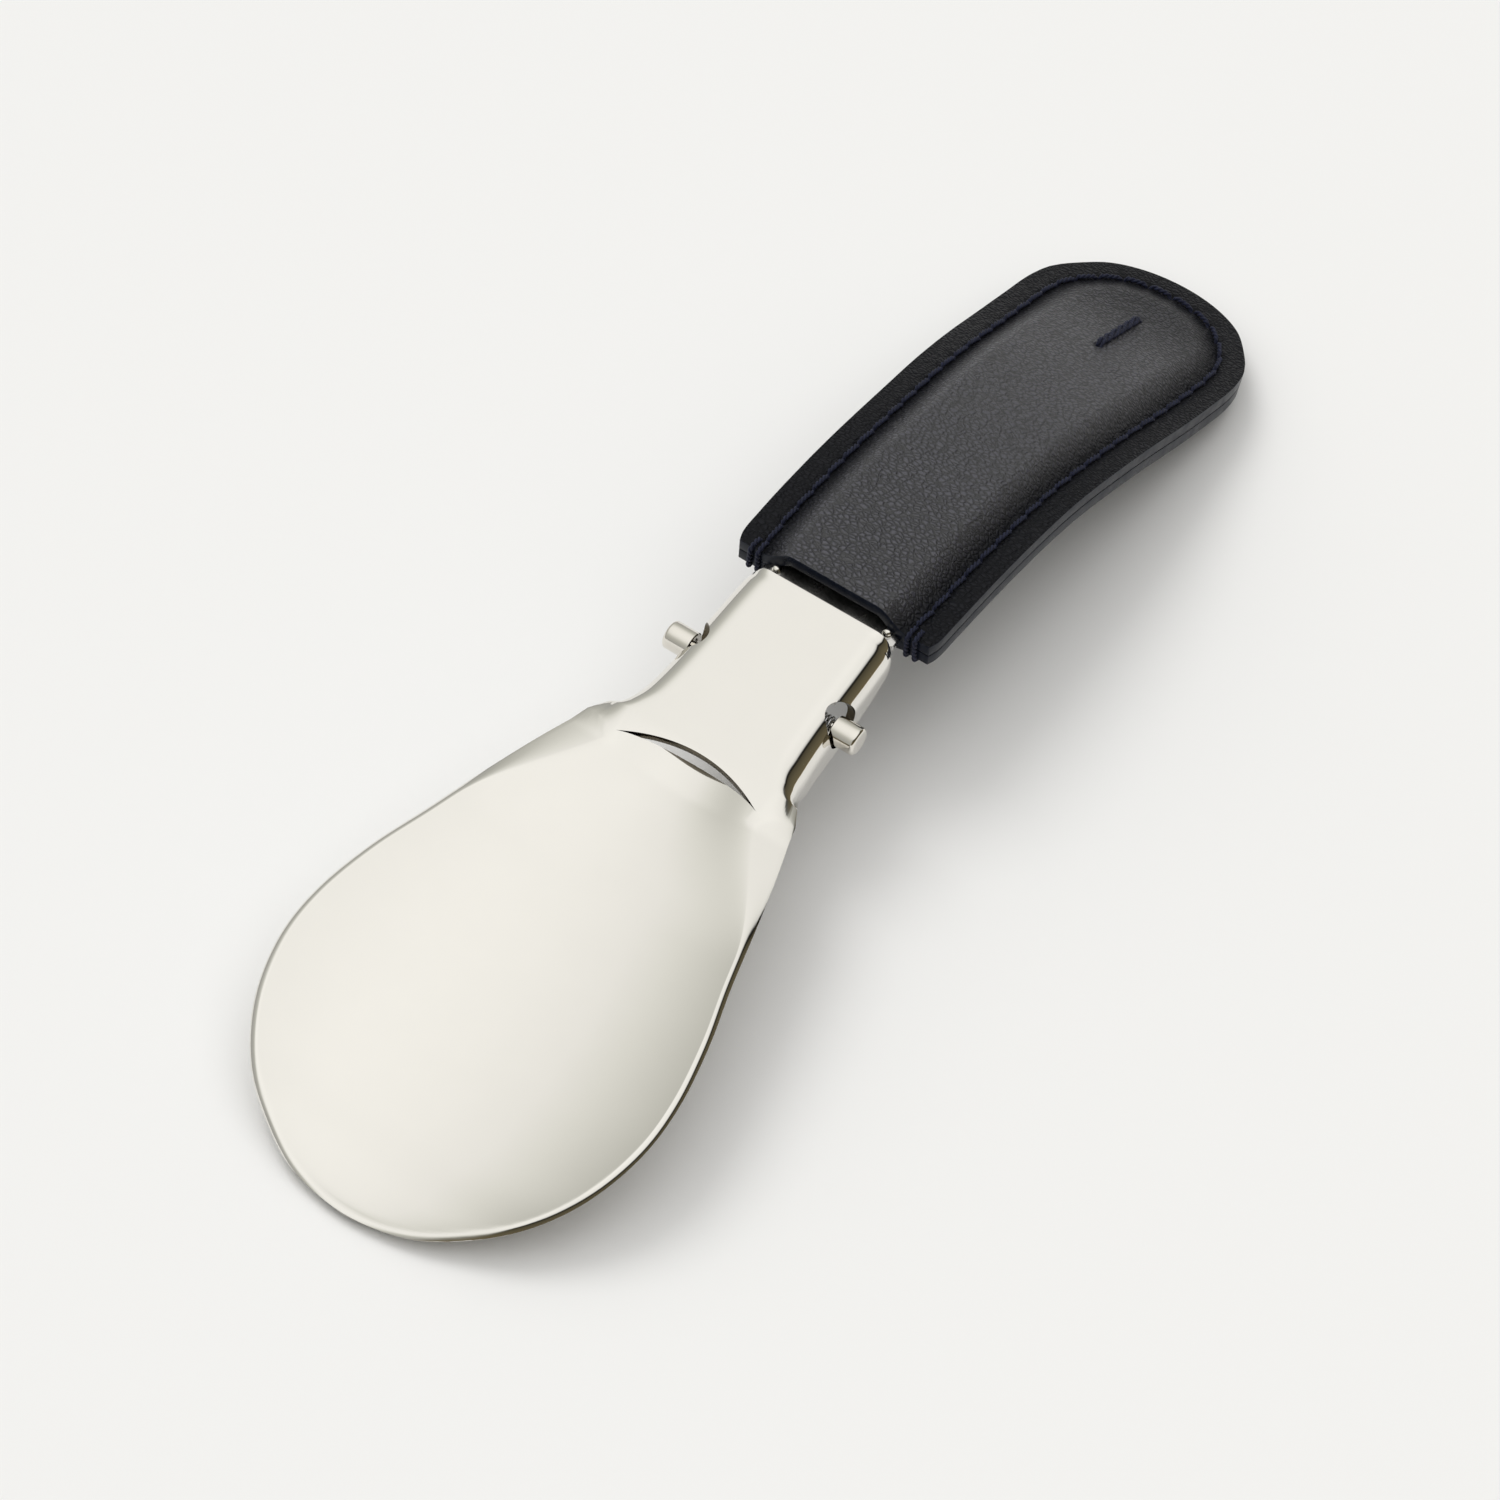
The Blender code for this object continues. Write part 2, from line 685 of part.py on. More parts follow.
def plate_level(y):
    """Height of the hinge plate's top at a station outside the neck."""
    bent = on_arc((y - ARC_START_Y) * 1.005, 0.0, PLATE_LIFT)
    top = AXIS_Z + 0.5 * PLATE
    return top + (bent[2] - top) * ease((y - 22.0) / 9.0)


def stitch_path():
    """The stitch line: the handle's outline moved in, from one mouth corner to the other."""
    inner = []
    for p in RIM_PATH:
        inner.append((p.x, p.y))
    right = []
    for k in range(1, len(inner) - 1):
        tx = inner[k + 1][0] - inner[k - 1][0]
        ty = inner[k + 1][1] - inner[k - 1][1]
        size = math.hypot(tx, ty)
        s = inner[k][0] + STITCH_IN * ty / size
        x = inner[k][1] - STITCH_IN * tx / size
        if s > 1.4 and x > 0.8:
            right.append((s, x))
    tip = (HANDLE_LEN - STITCH_IN, 0.0)
    left = [(s, -x) for s, x in reversed(right)]
    return right + [tip] + left


def build_stitching():
    """One thread round the handle: along the front, over the mouth's edge, and back behind."""
    rise = THREAD_R + THREAD_LIFT
    path = stitch_path()[::2]
    under = -STACK - LEATHER - rise
    front = [on_arc(s, x, PUFF * puff(s, x) + rise) for s, x in path]
    back = [on_arc(s, x, under - BACK_PUFF * puff(s, x)) for s, x in reversed(path)]
    s0, x0 = path[-1]
    over_left = [on_arc(1.0 - rise - 0.15, x0, lift) for lift in (0.1, -1.5, under + 0.3)]
    over_right = [on_arc(1.0 - rise - 0.15, path[0][1], lift) for lift in (under + 0.3, -1.5, 0.1)]
    return tube("edge_stitching", front + over_left + back + over_right, THREAD_R, HINGE, True)


def build_tack():
    """A short thick bar of thread on the handle's front, near its end."""
    points = []
    for k in range(9):
        s = TACK_S0 + (TACK_S1 - TACK_S0) * k / 8.0
        points.append(on_arc(s, 0.0, PUFF * puff(s, 0.0) + TACK_R + 0.05))
    return tube("bar_tack", points, TACK_R, HINGE, False, 3)


# ---------------------------------------------------------------- build everything
nickel = material("polished_nickel", (0.86, 0.85, 0.82), 1.0, 0.12)
steel = material("turned_steel", (0.80, 0.79, 0.77), 1.0, 0.18)
spring_steel = material("spring_steel", (0.62, 0.62, 0.64), 1.0, 0.3)
hinge_steel = material("hinge_plate_steel", (0.74, 0.74, 0.73), 1.0, 0.28)
core_steel = material("core_steel", (0.45, 0.46, 0.48), 1.0, 0.45)
leather_dark = material("front_leather", (0.035, 0.038, 0.05), 0.0, 0.55)
leather_rear = material("back_leather", (0.032, 0.034, 0.045), 0.0, 0.6)
foam = material("padding_felt", (0.20, 0.20, 0.21), 0.0, 0.95)
thread = material("navy_thread", (0.02, 0.03, 0.08), 0.0, 0.7)
tack_thread = material("tack_thread", (0.02, 0.03, 0.08), 0.0, 0.7)
rivet_metal = material("rivet_nickel", (0.82, 0.81, 0.79), 1.0, 0.15)

finish(build_sheet(), nickel, 50.0)
finish(build_hinge_plate(), hinge_steel, 40.0)
for side, sign in (("left", -1.0), ("right", 1.0)):
    finish(build_rivet(side, sign), rivet_metal, 60.0)
    finish(build_button(side, sign), steel, 30.0)
    finish(build_spring(side, sign), spring_steel, 70.0)
finish(build_core(), core_steel, 40.0)
finish(build_padding(), foam, 60.0)
finish(build_leather_front(), leather_dark, 60.0)
finish(build_leather_back(), leather_rear, 60.0)
finish(build_stitching(), thread, 80.0)
finish(build_tack(), tack_thread, 80.0)
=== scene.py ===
import json
import math
import random

import bmesh
import bpy
from mathutils import Matrix, Vector, noise

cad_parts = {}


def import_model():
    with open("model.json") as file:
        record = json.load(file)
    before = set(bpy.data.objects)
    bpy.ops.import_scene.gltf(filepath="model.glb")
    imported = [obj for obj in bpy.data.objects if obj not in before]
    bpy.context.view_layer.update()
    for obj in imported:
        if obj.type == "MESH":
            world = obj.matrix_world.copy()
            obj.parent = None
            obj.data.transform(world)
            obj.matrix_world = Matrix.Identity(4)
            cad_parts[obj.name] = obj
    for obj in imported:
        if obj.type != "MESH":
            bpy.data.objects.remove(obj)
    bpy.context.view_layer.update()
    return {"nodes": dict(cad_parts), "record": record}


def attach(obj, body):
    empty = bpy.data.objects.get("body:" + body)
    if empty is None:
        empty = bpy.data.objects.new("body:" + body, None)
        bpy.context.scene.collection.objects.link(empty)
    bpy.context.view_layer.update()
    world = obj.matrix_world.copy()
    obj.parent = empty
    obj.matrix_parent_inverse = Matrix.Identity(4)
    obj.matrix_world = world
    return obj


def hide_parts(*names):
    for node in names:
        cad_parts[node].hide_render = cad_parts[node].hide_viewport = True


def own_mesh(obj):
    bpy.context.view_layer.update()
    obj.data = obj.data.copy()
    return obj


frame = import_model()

# Looks of a folding pocket shoehorn: polished sheet, sprung buttons and a padded leather handle.
# Everything is laid out in millimetres in the neck's own frame, as in the CAD source: X across, Y from
# the blade's tip towards the handle, Z up from the neck's flat top.
random.seed(7)
MM = 0.001

# ---- pressed sheet ----
SHEET = 1.0
SLOT_HALF = 9.0
SLOT_NECK_RISE = 2.6
SLOT_BLADE_RISE = 2.0
SLOT_STEP = 1.8
BEND_R = 3.2
SLOT_ROW_HALF = 13.35
WEB_DROP = 0.72
SHOULDER_TOP = 7.5
SHOULDER_RUN = 6.5
RIM = [(2.1, 12.8, -0.96), (-4.9, 15.2, -0.22), (-12.0, 17.3, 0.46), (-19.7, 19.4, 1.05),
       (-27.0, 21.6, 1.34), (-34.4, 23.05, 1.26), (-40.3, 23.15, 0.84), (-46.2, 21.85, 0.06),
       (-50.7, 19.7, -0.82), (-54.9, 16.4, -1.68), (-58.3, 11.9, -2.75), (-60.7, 7.2, -3.42),
       (-61.85, 0.0, -3.55)]
DISH_SLOT = 1.8
DISH_MAX = 4.0
LIP_DROP = 0.4
LIP_WIDE = 4.4
LIP_NARROW = 0.8
LIP_RUN = 18.0
SOFT_POWER = 0.7
BLADE_TOP = -1.3
BOW_START = -12.0
BOW_END = -56.6
LAST_RUN = 1.6
LAST_STEPS = (1.1, 0.8, 0.5, 0.25, 0.0)
NECK_ROW = 0.6
BLADE_ROW = 0.9
SHEET_ROUND = 0.22
NECK = [(3.2, 12.1, 2.3), (4.4, 11.4, 3.4), (6.0, 10.75, 4.6), (8.5, 10.3, 5.3), (12.0, 10.0, 5.6),
        (17.0, 9.8, 5.6), (20.5, 9.7, 5.1), (23.0, 9.6, 4.5), (24.6, 9.5, 3.8), (25.5, 9.2, 3.0),
        (26.0, 8.6, 1.9)]
HOLE_R = 2.5
HOLE_Y = 15.2
HOLE_Z = -2.6
HOLE_DOME_X = 8.6
HOLE_REACH = 5.0
HOLE_STEP_DEG = 5.0
HOLE_WALL_X = 5.0
HOLE_WALL_SLACK = 0.1
HOLE_WALL_FACING = -0.8
SLOT_WALL_Y = (0.4, 3.6)
SLOT_WALL_FACING = -0.7

# ---- hinge axis and buttons ----
AXIS_Y = 14.7
AXIS_Z = -2.72
HEAD_R = 1.65
HEAD_IN = 9.15
HEAD_OUT = 12.35
SHAFT_R = 0.65
STUB_R = 0.95
STUB_IN = 2.5
STUB_LEN = 0.8
BARREL_HALF = 6.2
BARREL_R = 1.4
BARREL_BORE = 0.8
SPRING_R = 1.0
SPRING_WIRE = 0.14
SPRING_TURNS = 5
SPRING_STEPS = 20
SPRING_IN_GAP = 0.35
SPRING_OUT_GAP = 0.3

# ---- handle ----
ARC_START_Y = 27.0
ARC_START_Z = -0.97
ARC_START_DEG = -4.57
ARC_RATE_DEG = -0.496
ARC_TURN = 50.0
ARC_RELAX_DEG = 0.25
OUTLINE = [(1.0, 12.3), (2.2, 12.7), (6.0, 12.85), (15.0, 12.95), (30.0, 13.1), (40.0, 13.5),
           (50.0, 13.8), (60.0, 13.95), (66.5, 13.85), (70.3, 13.05), (73.9, 10.9), (76.6, 8.5),
           (78.5, 4.7), (79.2, 0.0)]
HANDLE_LEN = 79.2
LEATHER = 1.4
STACK = 1.7
SEAM = 0.06
PUFF = 2.0
BACK_PUFF = 1.1
PUFF_START = 3.2
PUFF_RUN = 3.6
PUFF_FADE = 0.6
PUFF_FADE_S = 54.0
PUFF_FADE_RUN = 18.0
STITCH_IN = 3.0
STITCH_PITCH = 3.05
TACK_S0 = 57.0
TACK_S1 = 67.6
PLATE = 0.9
PLATE_LIFT = -1.05
PLATE_BEND_Y = 22.0
PLATE_BEND_RUN = 9.0
PLATE_COLS = 8
PAD_END = 62.5
PAD_RUN = 46.5
PAD_ROWS = 48
PAD_HALF = 6.2
PAD_COLS = 14
PAD_DROP = 0.45
PAD = 0.9
RIVET_X = 7.2
RIVET_Y = 27.65
RIVET_R = 0.62


def joint(name):
    return next(j for j in frame["record"]["behaviour"]["joints"] if j["name"] == name)


def mount(name):
    return next(m for m in frame["record"]["mounts"] if m["name"] == name)


neck_up = mount("neck_face")["axis"]
TILT = math.atan2(-neck_up[1], neck_up[2])
TURN = Matrix.Rotation(TILT, 3, "X")
SHIFT = Vector(joint("fold")["pos_m"]) - TURN @ Vector((0.0, AXIS_Y, AXIS_Z)) * MM


def world(p):
    """A point of the neck's frame, in mm, as a point of the row frame, in metres."""
    return TURN @ (Vector(p) * MM) + SHIFT


def neck_frame(p):
    """A point of the row frame, in metres, as a point of the neck's frame, in mm."""
    return TURN.transposed() @ (p - SHIFT) / MM


# ---------------------------------------------------------------- numbers
def clamp01(t):
    return max(0.0, min(1.0, t))


def ease(t):
    t = clamp01(t)
    return t * t * (3.0 - 2.0 * t)


def spline_points(stations, spacing, mirror_end):
    """Even samples of a smooth curve through the stations; mirror_end makes it meet x = 0 square."""
    pts = [Vector(p + (0.0,) * (3 - len(p))) for p in stations]
    first = pts[0] * 2.0 - pts[1]
    last = pts[-1] * 2.0 - pts[-2]
    if mirror_end:
        last = Vector((pts[-2].x, -pts[-2].y, pts[-2].z))
    ctrl = [first] + pts + [last]
    dense = []
    for k in range(1, len(ctrl) - 2):
        p0, p1, p2, p3 = ctrl[k - 1:k + 3]
        t1 = (p1 - p0).length ** 0.5
        t2 = t1 + (p2 - p1).length ** 0.5
        t3 = t2 + (p3 - p2).length ** 0.5
        for i in range(24):
            t = t1 + (t2 - t1) * i / 24.0
            a1 = p0 * ((t1 - t) / t1) + p1 * (t / t1)
            a2 = p1 * ((t2 - t) / (t2 - t1)) + p2 * ((t - t1) / (t2 - t1))
            a3 = p2 * ((t3 - t) / (t3 - t2)) + p3 * ((t - t2) / (t3 - t2))
            b1 = a1 * ((t2 - t) / t2) + a2 * (t / t2)
            b2 = a2 * ((t3 - t) / (t3 - t1)) + a3 * ((t - t1) / (t3 - t1))
            dense.append(b1 * ((t2 - t) / (t2 - t1)) + b2 * ((t - t1) / (t2 - t1)))
    dense.append(pts[-1])
    lengths = [0.0]
    for a, b in zip(dense, dense[1:]):
        lengths.append(lengths[-1] + (b - a).length)
    count = max(2, round(lengths[-1] / spacing))
    out = []
    k = 0
    for i in range(count + 1):
        goal = lengths[-1] * i / count
        while k < len(dense) - 2 and lengths[k + 1] < goal:
            k += 1
        share = (goal - lengths[k]) / max(1e-9, lengths[k + 1] - lengths[k])
        out.append(dense[k].lerp(dense[k + 1], clamp01(share)))
    return out


# ---------------------------------------------------------------- meshes
def grid_faces(rows, columns, start=0):
    faces = []
    for i in range(rows - 1):
        for j in range(columns - 1):
            a = start + i * columns + j
            faces.append((a, a + columns, a + columns + 1, a + 1))
    return faces


def mirror_row(half_points):
    left = [(-x, y, z) for x, y, z in half_points[:0:-1]]
    return left + half_points


def mesh_object(name, verts, faces, mats, smooth_deg=40.0):
    """An object from points in the neck's frame; its mesh is in the row frame."""
    mesh = bpy.data.meshes.new(name)
    mesh.from_pydata([world(v) for v in verts], [], faces)
    mesh.validate()
    obj = bpy.data.objects.new(name, mesh)
    bpy.context.scene.collection.objects.link(obj)
    for mat in mats:
        mesh.materials.append(mat)
    mesh.shade_smooth()
    mesh.set_sharp_from_angle(angle=math.radians(smooth_deg))
    return obj


def merge(obj, distance=1e-7):
    """Joins points that lie within a distance, in metres."""
    bm = bmesh.new()
    bm.from_mesh(obj.data)
    bmesh.ops.remove_doubles(bm, verts=bm.verts, dist=distance)
    bm.to_mesh(obj.data)
    bm.free()


def bake(obj, smooth_deg=40.0):
    """Applies an object's modifiers."""
    bpy.context.view_layer.update()
    graph = bpy.context.evaluated_depsgraph_get()
    mesh = bpy.data.meshes.new_from_object(obj.evaluated_get(graph))
    obj.modifiers.clear()
    obj.data = mesh
    mesh.shade_smooth()
    mesh.set_sharp_from_angle(angle=math.radians(smooth_deg))
    return obj


def solidify(obj, thickness, rim_slot=0):
    """Gives a surface its thickness, in mm, below its front side."""
    mod = obj.modifiers.new("thickness", "SOLIDIFY")
    mod.thickness = thickness * MM
    mod.offset = -1.0
    mod.material_offset_rim = rim_slot


def bevel(obj, width, segments, angle=50.0):
    mod = obj.modifiers.new("edges", "BEVEL")
    mod.width = width * MM
    mod.segments = segments
    mod.limit_method = "ANGLE"
    mod.angle_limit = math.radians(angle)


def turned(profile, steps):
    """Points and faces of a profile of (radius, station) turned about the hinge axis."""
    verts = []
    rings = []
    for r, x in profile:
        if r < 1e-6:
            rings.append([len(verts)])
            verts.append((x, AXIS_Y, AXIS_Z))
            continue
        ring = []
        for k in range(steps):
            a = 2.0 * math.pi * k / steps
            ring.append(len(verts))
            verts.append((x, AXIS_Y + r * math.cos(a), AXIS_Z + r * math.sin(a)))
        rings.append(ring)
    faces = []
    for low, high in zip(rings, rings[1:]):
        for k in range(steps):
            a, b = low[k % len(low)], low[(k + 1) % len(low)]
            c, d = high[(k + 1) % len(high)], high[k % len(high)]
            faces.append(tuple(dict.fromkeys((a, b, c, d))))
    return verts, faces


def tube(points, radius, sides, verts, faces, taper=0.0):
    """Adds a round wire through points (mm) to verts and faces; taper thins its two ends."""
    pts = [Vector(p) for p in points]
    start = len(verts)
    side = None
    for k, p in enumerate(pts):
        along = (pts[min(k + 1, len(pts) - 1)] - pts[max(k - 1, 0)]).normalized()
        if side is None:
            side = along.orthogonal().normalized()
        side = (side - along * side.dot(along)).normalized()
        other = along.cross(side)
        t = k / (len(pts) - 1.0)
        r = radius * (1.0 - taper * (2.0 * abs(t - 0.5)) ** 6)
        for i in range(sides):
            a = 2.0 * math.pi * i / sides
            verts.append(tuple(p + side * (r * math.cos(a)) + other * (r * math.sin(a))))
    for k in range(len(pts) - 1):
        for i in range(sides):
            a = start + k * sides + i
            b = start + k * sides + (i + 1) % sides
            faces.append((a, b, b + sides, a + sides))
    faces.append(tuple(start + i for i in reversed(range(sides))))
    faces.append(tuple(start + (len(pts) - 1) * sides + i for i in range(sides)))


# ---------------------------------------------------------------- materials
class Nodes:
    """Short calls for building one material's node tree."""

    def __init__(self, name, color, metallic, roughness):
        self.mat = bpy.data.materials.new(name)
        self.mat.use_nodes = True
        self.tree = self.mat.node_tree
        self.shader = self.tree.nodes["Principled BSDF"]
        self.set(self.shader, "Base Color", (*color, 1.0))
        self.set(self.shader, "Metallic", metallic)
        self.set(self.shader, "Roughness", roughness)
        self.where = self.tree.nodes.new("ShaderNodeTexCoord").outputs["Object"]

    def set(self, node, socket, value):
        node.inputs[socket].default_value = value

    def link(self, a, b):
        self.tree.links.new(a, b)

    def scaled(self, scale):
        node = self.tree.nodes.new("ShaderNodeMapping")
        node.inputs["Scale"].default_value = scale
        self.link(self.where, node.inputs["Vector"])
        return node.outputs["Vector"]

    def noise(self, scale, detail=2.0, rough=0.5, vector=None):
        node = self.tree.nodes.new("ShaderNodeTexNoise")
        self.set(node, "Scale", scale)
        self.set(node, "Detail", detail)
        self.set(node, "Roughness", rough)
        self.link(vector or self.where, node.inputs["Vector"])
        return node.outputs["Fac"]

    def voronoi(self, scale, feature, vector=None):
        node = self.tree.nodes.new("ShaderNodeTexVoronoi")
        node.feature = feature
        self.set(node, "Scale", scale)
        self.link(vector or self.where, node.inputs["Vector"])
        return node.outputs["Distance"]

    def span(self, value, low, high, to_low, to_high):
        node = self.tree.nodes.new("ShaderNodeMapRange")
        self.link(value, node.inputs["Value"])
        self.set(node, "From Min", low)
        self.set(node, "From Max", high)
        self.set(node, "To Min", to_low)
        self.set(node, "To Max", to_high)
        return node.outputs["Result"]

    def math(self, kind, a, b):
        node = self.tree.nodes.new("ShaderNodeMath")
        node.operation = kind
        for socket, value in zip(node.inputs, (a, b)):
            if isinstance(value, (int, float)):
                socket.default_value = value
            else:
                self.link(value, socket)
        return node.outputs["Value"]

    def colors(self, value, low, high):
        node = self.tree.nodes.new("ShaderNodeMix")
        node.data_type = "RGBA"
        self.link(value, node.inputs["Factor"])
        node.inputs["A"].default_value = (*low, 1.0)
        node.inputs["B"].default_value = (*high, 1.0)
        return node.outputs["Result"]

    def bump(self, height, strength, distance, normal=None):
        node = self.tree.nodes.new("ShaderNodeBump")
        self.set(node, "Strength", strength)
        self.set(node, "Distance", distance)
        self.link(height, node.inputs["Height"])
        if normal:
            self.link(normal, node.inputs["Normal"])
        return node.outputs["Normal"]

    def to(self, socket, value):
        self.link(value, self.shader.inputs[socket])


def metal(name, color, low, high, streaks):
    """Plated or turned metal: cloudy roughness, faint polishing lines and a breath of unevenness."""
    n = Nodes(name, color, 1.0, 0.5 * (low + high))
    cloud = n.noise(240.0, 4.0, 0.6)
    lines = n.noise(700.0, 2.0, 0.5, n.scaled(streaks))
    mixed = n.math("ADD", n.math("MULTIPLY", cloud, 0.6), n.math("MULTIPLY", lines, 0.4))
    n.to("Roughness", n.span(mixed, 0.3, 0.7, low, high))
    n.to("Base Color", n.colors(cloud, tuple(c * 0.975 for c in color), color))
    n.to("Normal", n.bump(lines, 0.04, 0.000004))
    return n.mat


def leather(name, color, lighter):
    """Fine pebble grain with pores between; duller border, with painted shade darker there than on the
    padded middle.
    """
    n = Nodes(name, color, 0.0, 0.5)
    wide = n.scaled((1.0, 1.45, 1.45))
    warp = n.tree.nodes.new("ShaderNodeVectorMath")
    warp.operation = "ADD"
    shift = n.tree.nodes.new("ShaderNodeTexNoise")
    n.set(shift, "Scale", 900.0)
    n.link(n.where, shift.inputs["Vector"])
    small = n.tree.nodes.new("ShaderNodeVectorMath")
    small.operation = "SCALE"
    n.set(small, "Scale", 0.0006)
    n.link(shift.outputs["Color"], small.inputs[0])
    n.link(wide, warp.inputs[0])
    n.link(small.outputs["Vector"], warp.inputs[1])
    cells = n.voronoi(1350.0, "DISTANCE_TO_EDGE", warp.outputs["Vector"])
    pebble = n.span(cells, 0.0, 0.28, 0.0, 1.0)
    fine = n.noise(4200.0, 3.0, 0.6)
    height = n.math("ADD", n.math("MULTIPLY", pebble, 0.8), n.math("MULTIPLY", fine, 0.35))
    broad = n.noise(90.0, 3.0, 0.5)
    shade = n.math("MULTIPLY", n.span(pebble, 0.0, 1.0, 0.05, 1.0), n.span(broad, 0.3, 0.7, 0.8, 1.0))
    # Painted shade: the base colour darkens where the padding lifts the leather least, towards the border;
    # the same mask lowers the gloss there.
    puff_shade_and_gloss = n.tree.nodes.new("ShaderNodeAttribute")
    puff_shade_and_gloss.attribute_name = "puff"
    puff_shade_and_gloss = puff_shade_and_gloss.outputs["Fac"]
    shade = n.math("MULTIPLY", shade, n.span(puff_shade_and_gloss, 0.0, 1.0, 0.12, 1.0))
    n.to("Base Color", n.colors(shade, color, lighter))
    n.to("Roughness", n.span(height, 0.1, 1.1, 0.52, 0.34))
    n.to("Normal", n.bump(height, 0.9, 0.00016))
    n.to("Specular IOR Level", n.span(puff_shade_and_gloss, 0.0, 1.0, 0.14, 1.0))
    return n.mat


def edge_paint(name, color):
    """Burnished and painted leather edge: smooth, a little wavy, glossier than the grain."""
    n = Nodes(name, color, 0.0, 0.3)
    wave = n.noise(600.0, 3.0, 0.5)
    n.to("Roughness", n.span(wave, 0.3, 0.7, 0.24, 0.4))
    n.to("Base Color", n.colors(wave, color, tuple(c * 1.6 for c in color)))
    n.to("Normal", n.bump(wave, 0.25, 0.00003))
    n.set(n.shader, "Specular IOR Level", 0.16)
    return n.mat


def thread(name, color, lighter):
    """Waxed polyester thread: hair-fine fibres and a dull sheen."""
    n = Nodes(name, color, 0.0, 0.55)
    fibre = n.noise(9000.0, 3.0, 0.7, n.scaled((1.0, 0.35, 1.0)))
    n.to("Base Color", n.colors(n.span(fibre, 0.35, 0.65, 0.0, 1.0), color, lighter))
    n.to("Roughness", n.span(fibre, 0.3, 0.7, 0.45, 0.7))
    n.to("Normal", n.bump(fibre, 0.5, 0.00003))
    n.set(n.shader, "Sheen Weight", 0.05)
    n.set(n.shader, "Specular IOR Level", 0.3)
    return n.mat


def felt(name, color):
    """Pressed grey felt with loose hairs."""
    n = Nodes(name, color, 0.0, 0.95)
    hair = n.noise(3000.0, 5.0, 0.7)
    n.to("Base Color", n.colors(hair, tuple(c * 0.5 for c in color), tuple(c * 1.4 for c in color)))
    n.to("Normal", n.bump(hair, 0.8, 0.0001))
    return n.mat


nickel = metal("polished_nickel", (0.83, 0.81, 0.765), 0.035, 0.075, (0.15, 1.0, 1.0))
button_steel = metal("turned_steel", (0.80, 0.77, 0.71), 0.05, 0.11, (0.2, 1.0, 1.0))
spring_steel = metal("spring_steel", (0.60, 0.60, 0.61), 0.2, 0.3, (1.0, 1.0, 1.0))
hinge_steel = metal("hinge_plate_steel", (0.62, 0.61, 0.59), 0.18, 0.3, (1.0, 0.1, 1.0))
core_steel = metal("core_steel", (0.45, 0.46, 0.48), 0.35, 0.5, (1.0, 0.1, 1.0))
# Painted shade: a dark olive colour for cut faces in shade, the walls of the holes and the neck's edge over
# the slot.
shaded_cut_nickel = metal("shaded_cut_nickel", (0.115, 0.098, 0.07), 0.12, 0.22, (1.0, 1.0, 1.0))
rivet_nickel = metal("rivet_nickel", (0.82, 0.80, 0.75), 0.05, 0.1, (1.0, 1.0, 1.0))
front_leather = leather("front_leather", (0.004, 0.0045, 0.006), (0.043, 0.0425, 0.060))
back_leather = leather("back_leather", (0.004, 0.0045, 0.006), (0.012, 0.0125, 0.015))
painted_edge = edge_paint("painted_edge", (0.007, 0.009, 0.016))
navy_thread = thread("navy_thread", (0.003, 0.004, 0.014), (0.014, 0.018, 0.048))
padding_felt = felt("padding_felt", (0.10, 0.10, 0.11))

# ---------------------------------------------------------------- blade and neck
FLAT_COLS = 16
BEND_COLS = 12
WALL_COLS = 4
HALF_COLS = FLAT_COLS + BEND_COLS + WALL_COLS
BLADE_RIM = spline_points(RIM, 0.3, True)
TIP = BLADE_RIM[-1]


def neck_section(half, depth):
    """Half of the channel section: flat top, rolled corner, upright flange."""
    bend = min(BEND_R, depth - 0.1)
    flat = half - bend
    out = [(flat * i / FLAT_COLS, 0.0) for i in range(FLAT_COLS + 1)]
    for i in range(1, BEND_COLS + 1):
        a = math.radians(90.0) * i / BEND_COLS
        out.append((flat + bend * math.sin(a), -bend * (1.0 - math.cos(a))))
    for i in range(1, WALL_COLS + 1):
        out.append((half, -bend - (depth - bend) * i / WALL_COLS))
    return out


def web_section(half):
    """Half of the section where the neck opens into the blade: flat, then falling to the rim."""
    out = []
    for k in range(HALF_COLS + 1):
        if k <= FLAT_COLS + 1:
            out.append((SLOT_HALF * k / (FLAT_COLS + 1.0), 0.0))
            continue
        share = (k - FLAT_COLS - 1.0) / (HALF_COLS - FLAT_COLS - 1.0)
        out.append((SLOT_HALF + (half - SLOT_HALF) * share, -WEB_DROP * share ** 2.2))
    return out


def rim_at(y):
    """Half width and rim height of the blade at a station."""
    for a, b in zip(BLADE_RIM, BLADE_RIM[1:]):
        if b.x <= y:
            share = clamp01((a.x - y) / max(1e-9, a.x - b.x))
            return a.y + (b.y - a.y) * share, a.z + (b.z - a.z) * share
    return TIP.y, TIP.z


def tip_line(x):
    """Station of the blade's end at a distance x from the middle."""
    for a, b in zip(reversed(BLADE_RIM[:-1]), reversed(BLADE_RIM)):
        if a.y >= x:
            share = clamp01((x - b.y) / max(1e-9, a.y - b.y))
            return b.x + (a.x - b.x) * share
    return BLADE_RIM[0].x


def lip_width(y, half):
    toward = clamp01((1.0 - y) / LIP_RUN)
    return min(LIP_WIDE + (LIP_NARROW - LIP_WIDE) * ease(toward), 0.35 * half)


def rim_gap(x, y):
    """Distance from the blade's outline, measured to the lines between its points."""
    k = min(range(len(BLADE_RIM)), key=lambda i: (BLADE_RIM[i].x - y) ** 2 + (BLADE_RIM[i].y - x) ** 2)
    best = 99.0
    spot = Vector((y, x))
    for i in (k - 1, k):
        if 0 <= i < len(BLADE_RIM) - 1:
            a = BLADE_RIM[i].xy
            along = BLADE_RIM[i + 1].xy - a
            t = clamp01((spot - a).dot(along) / along.length_squared)
            best = min(best, (spot - a - along * t).length)
    return best


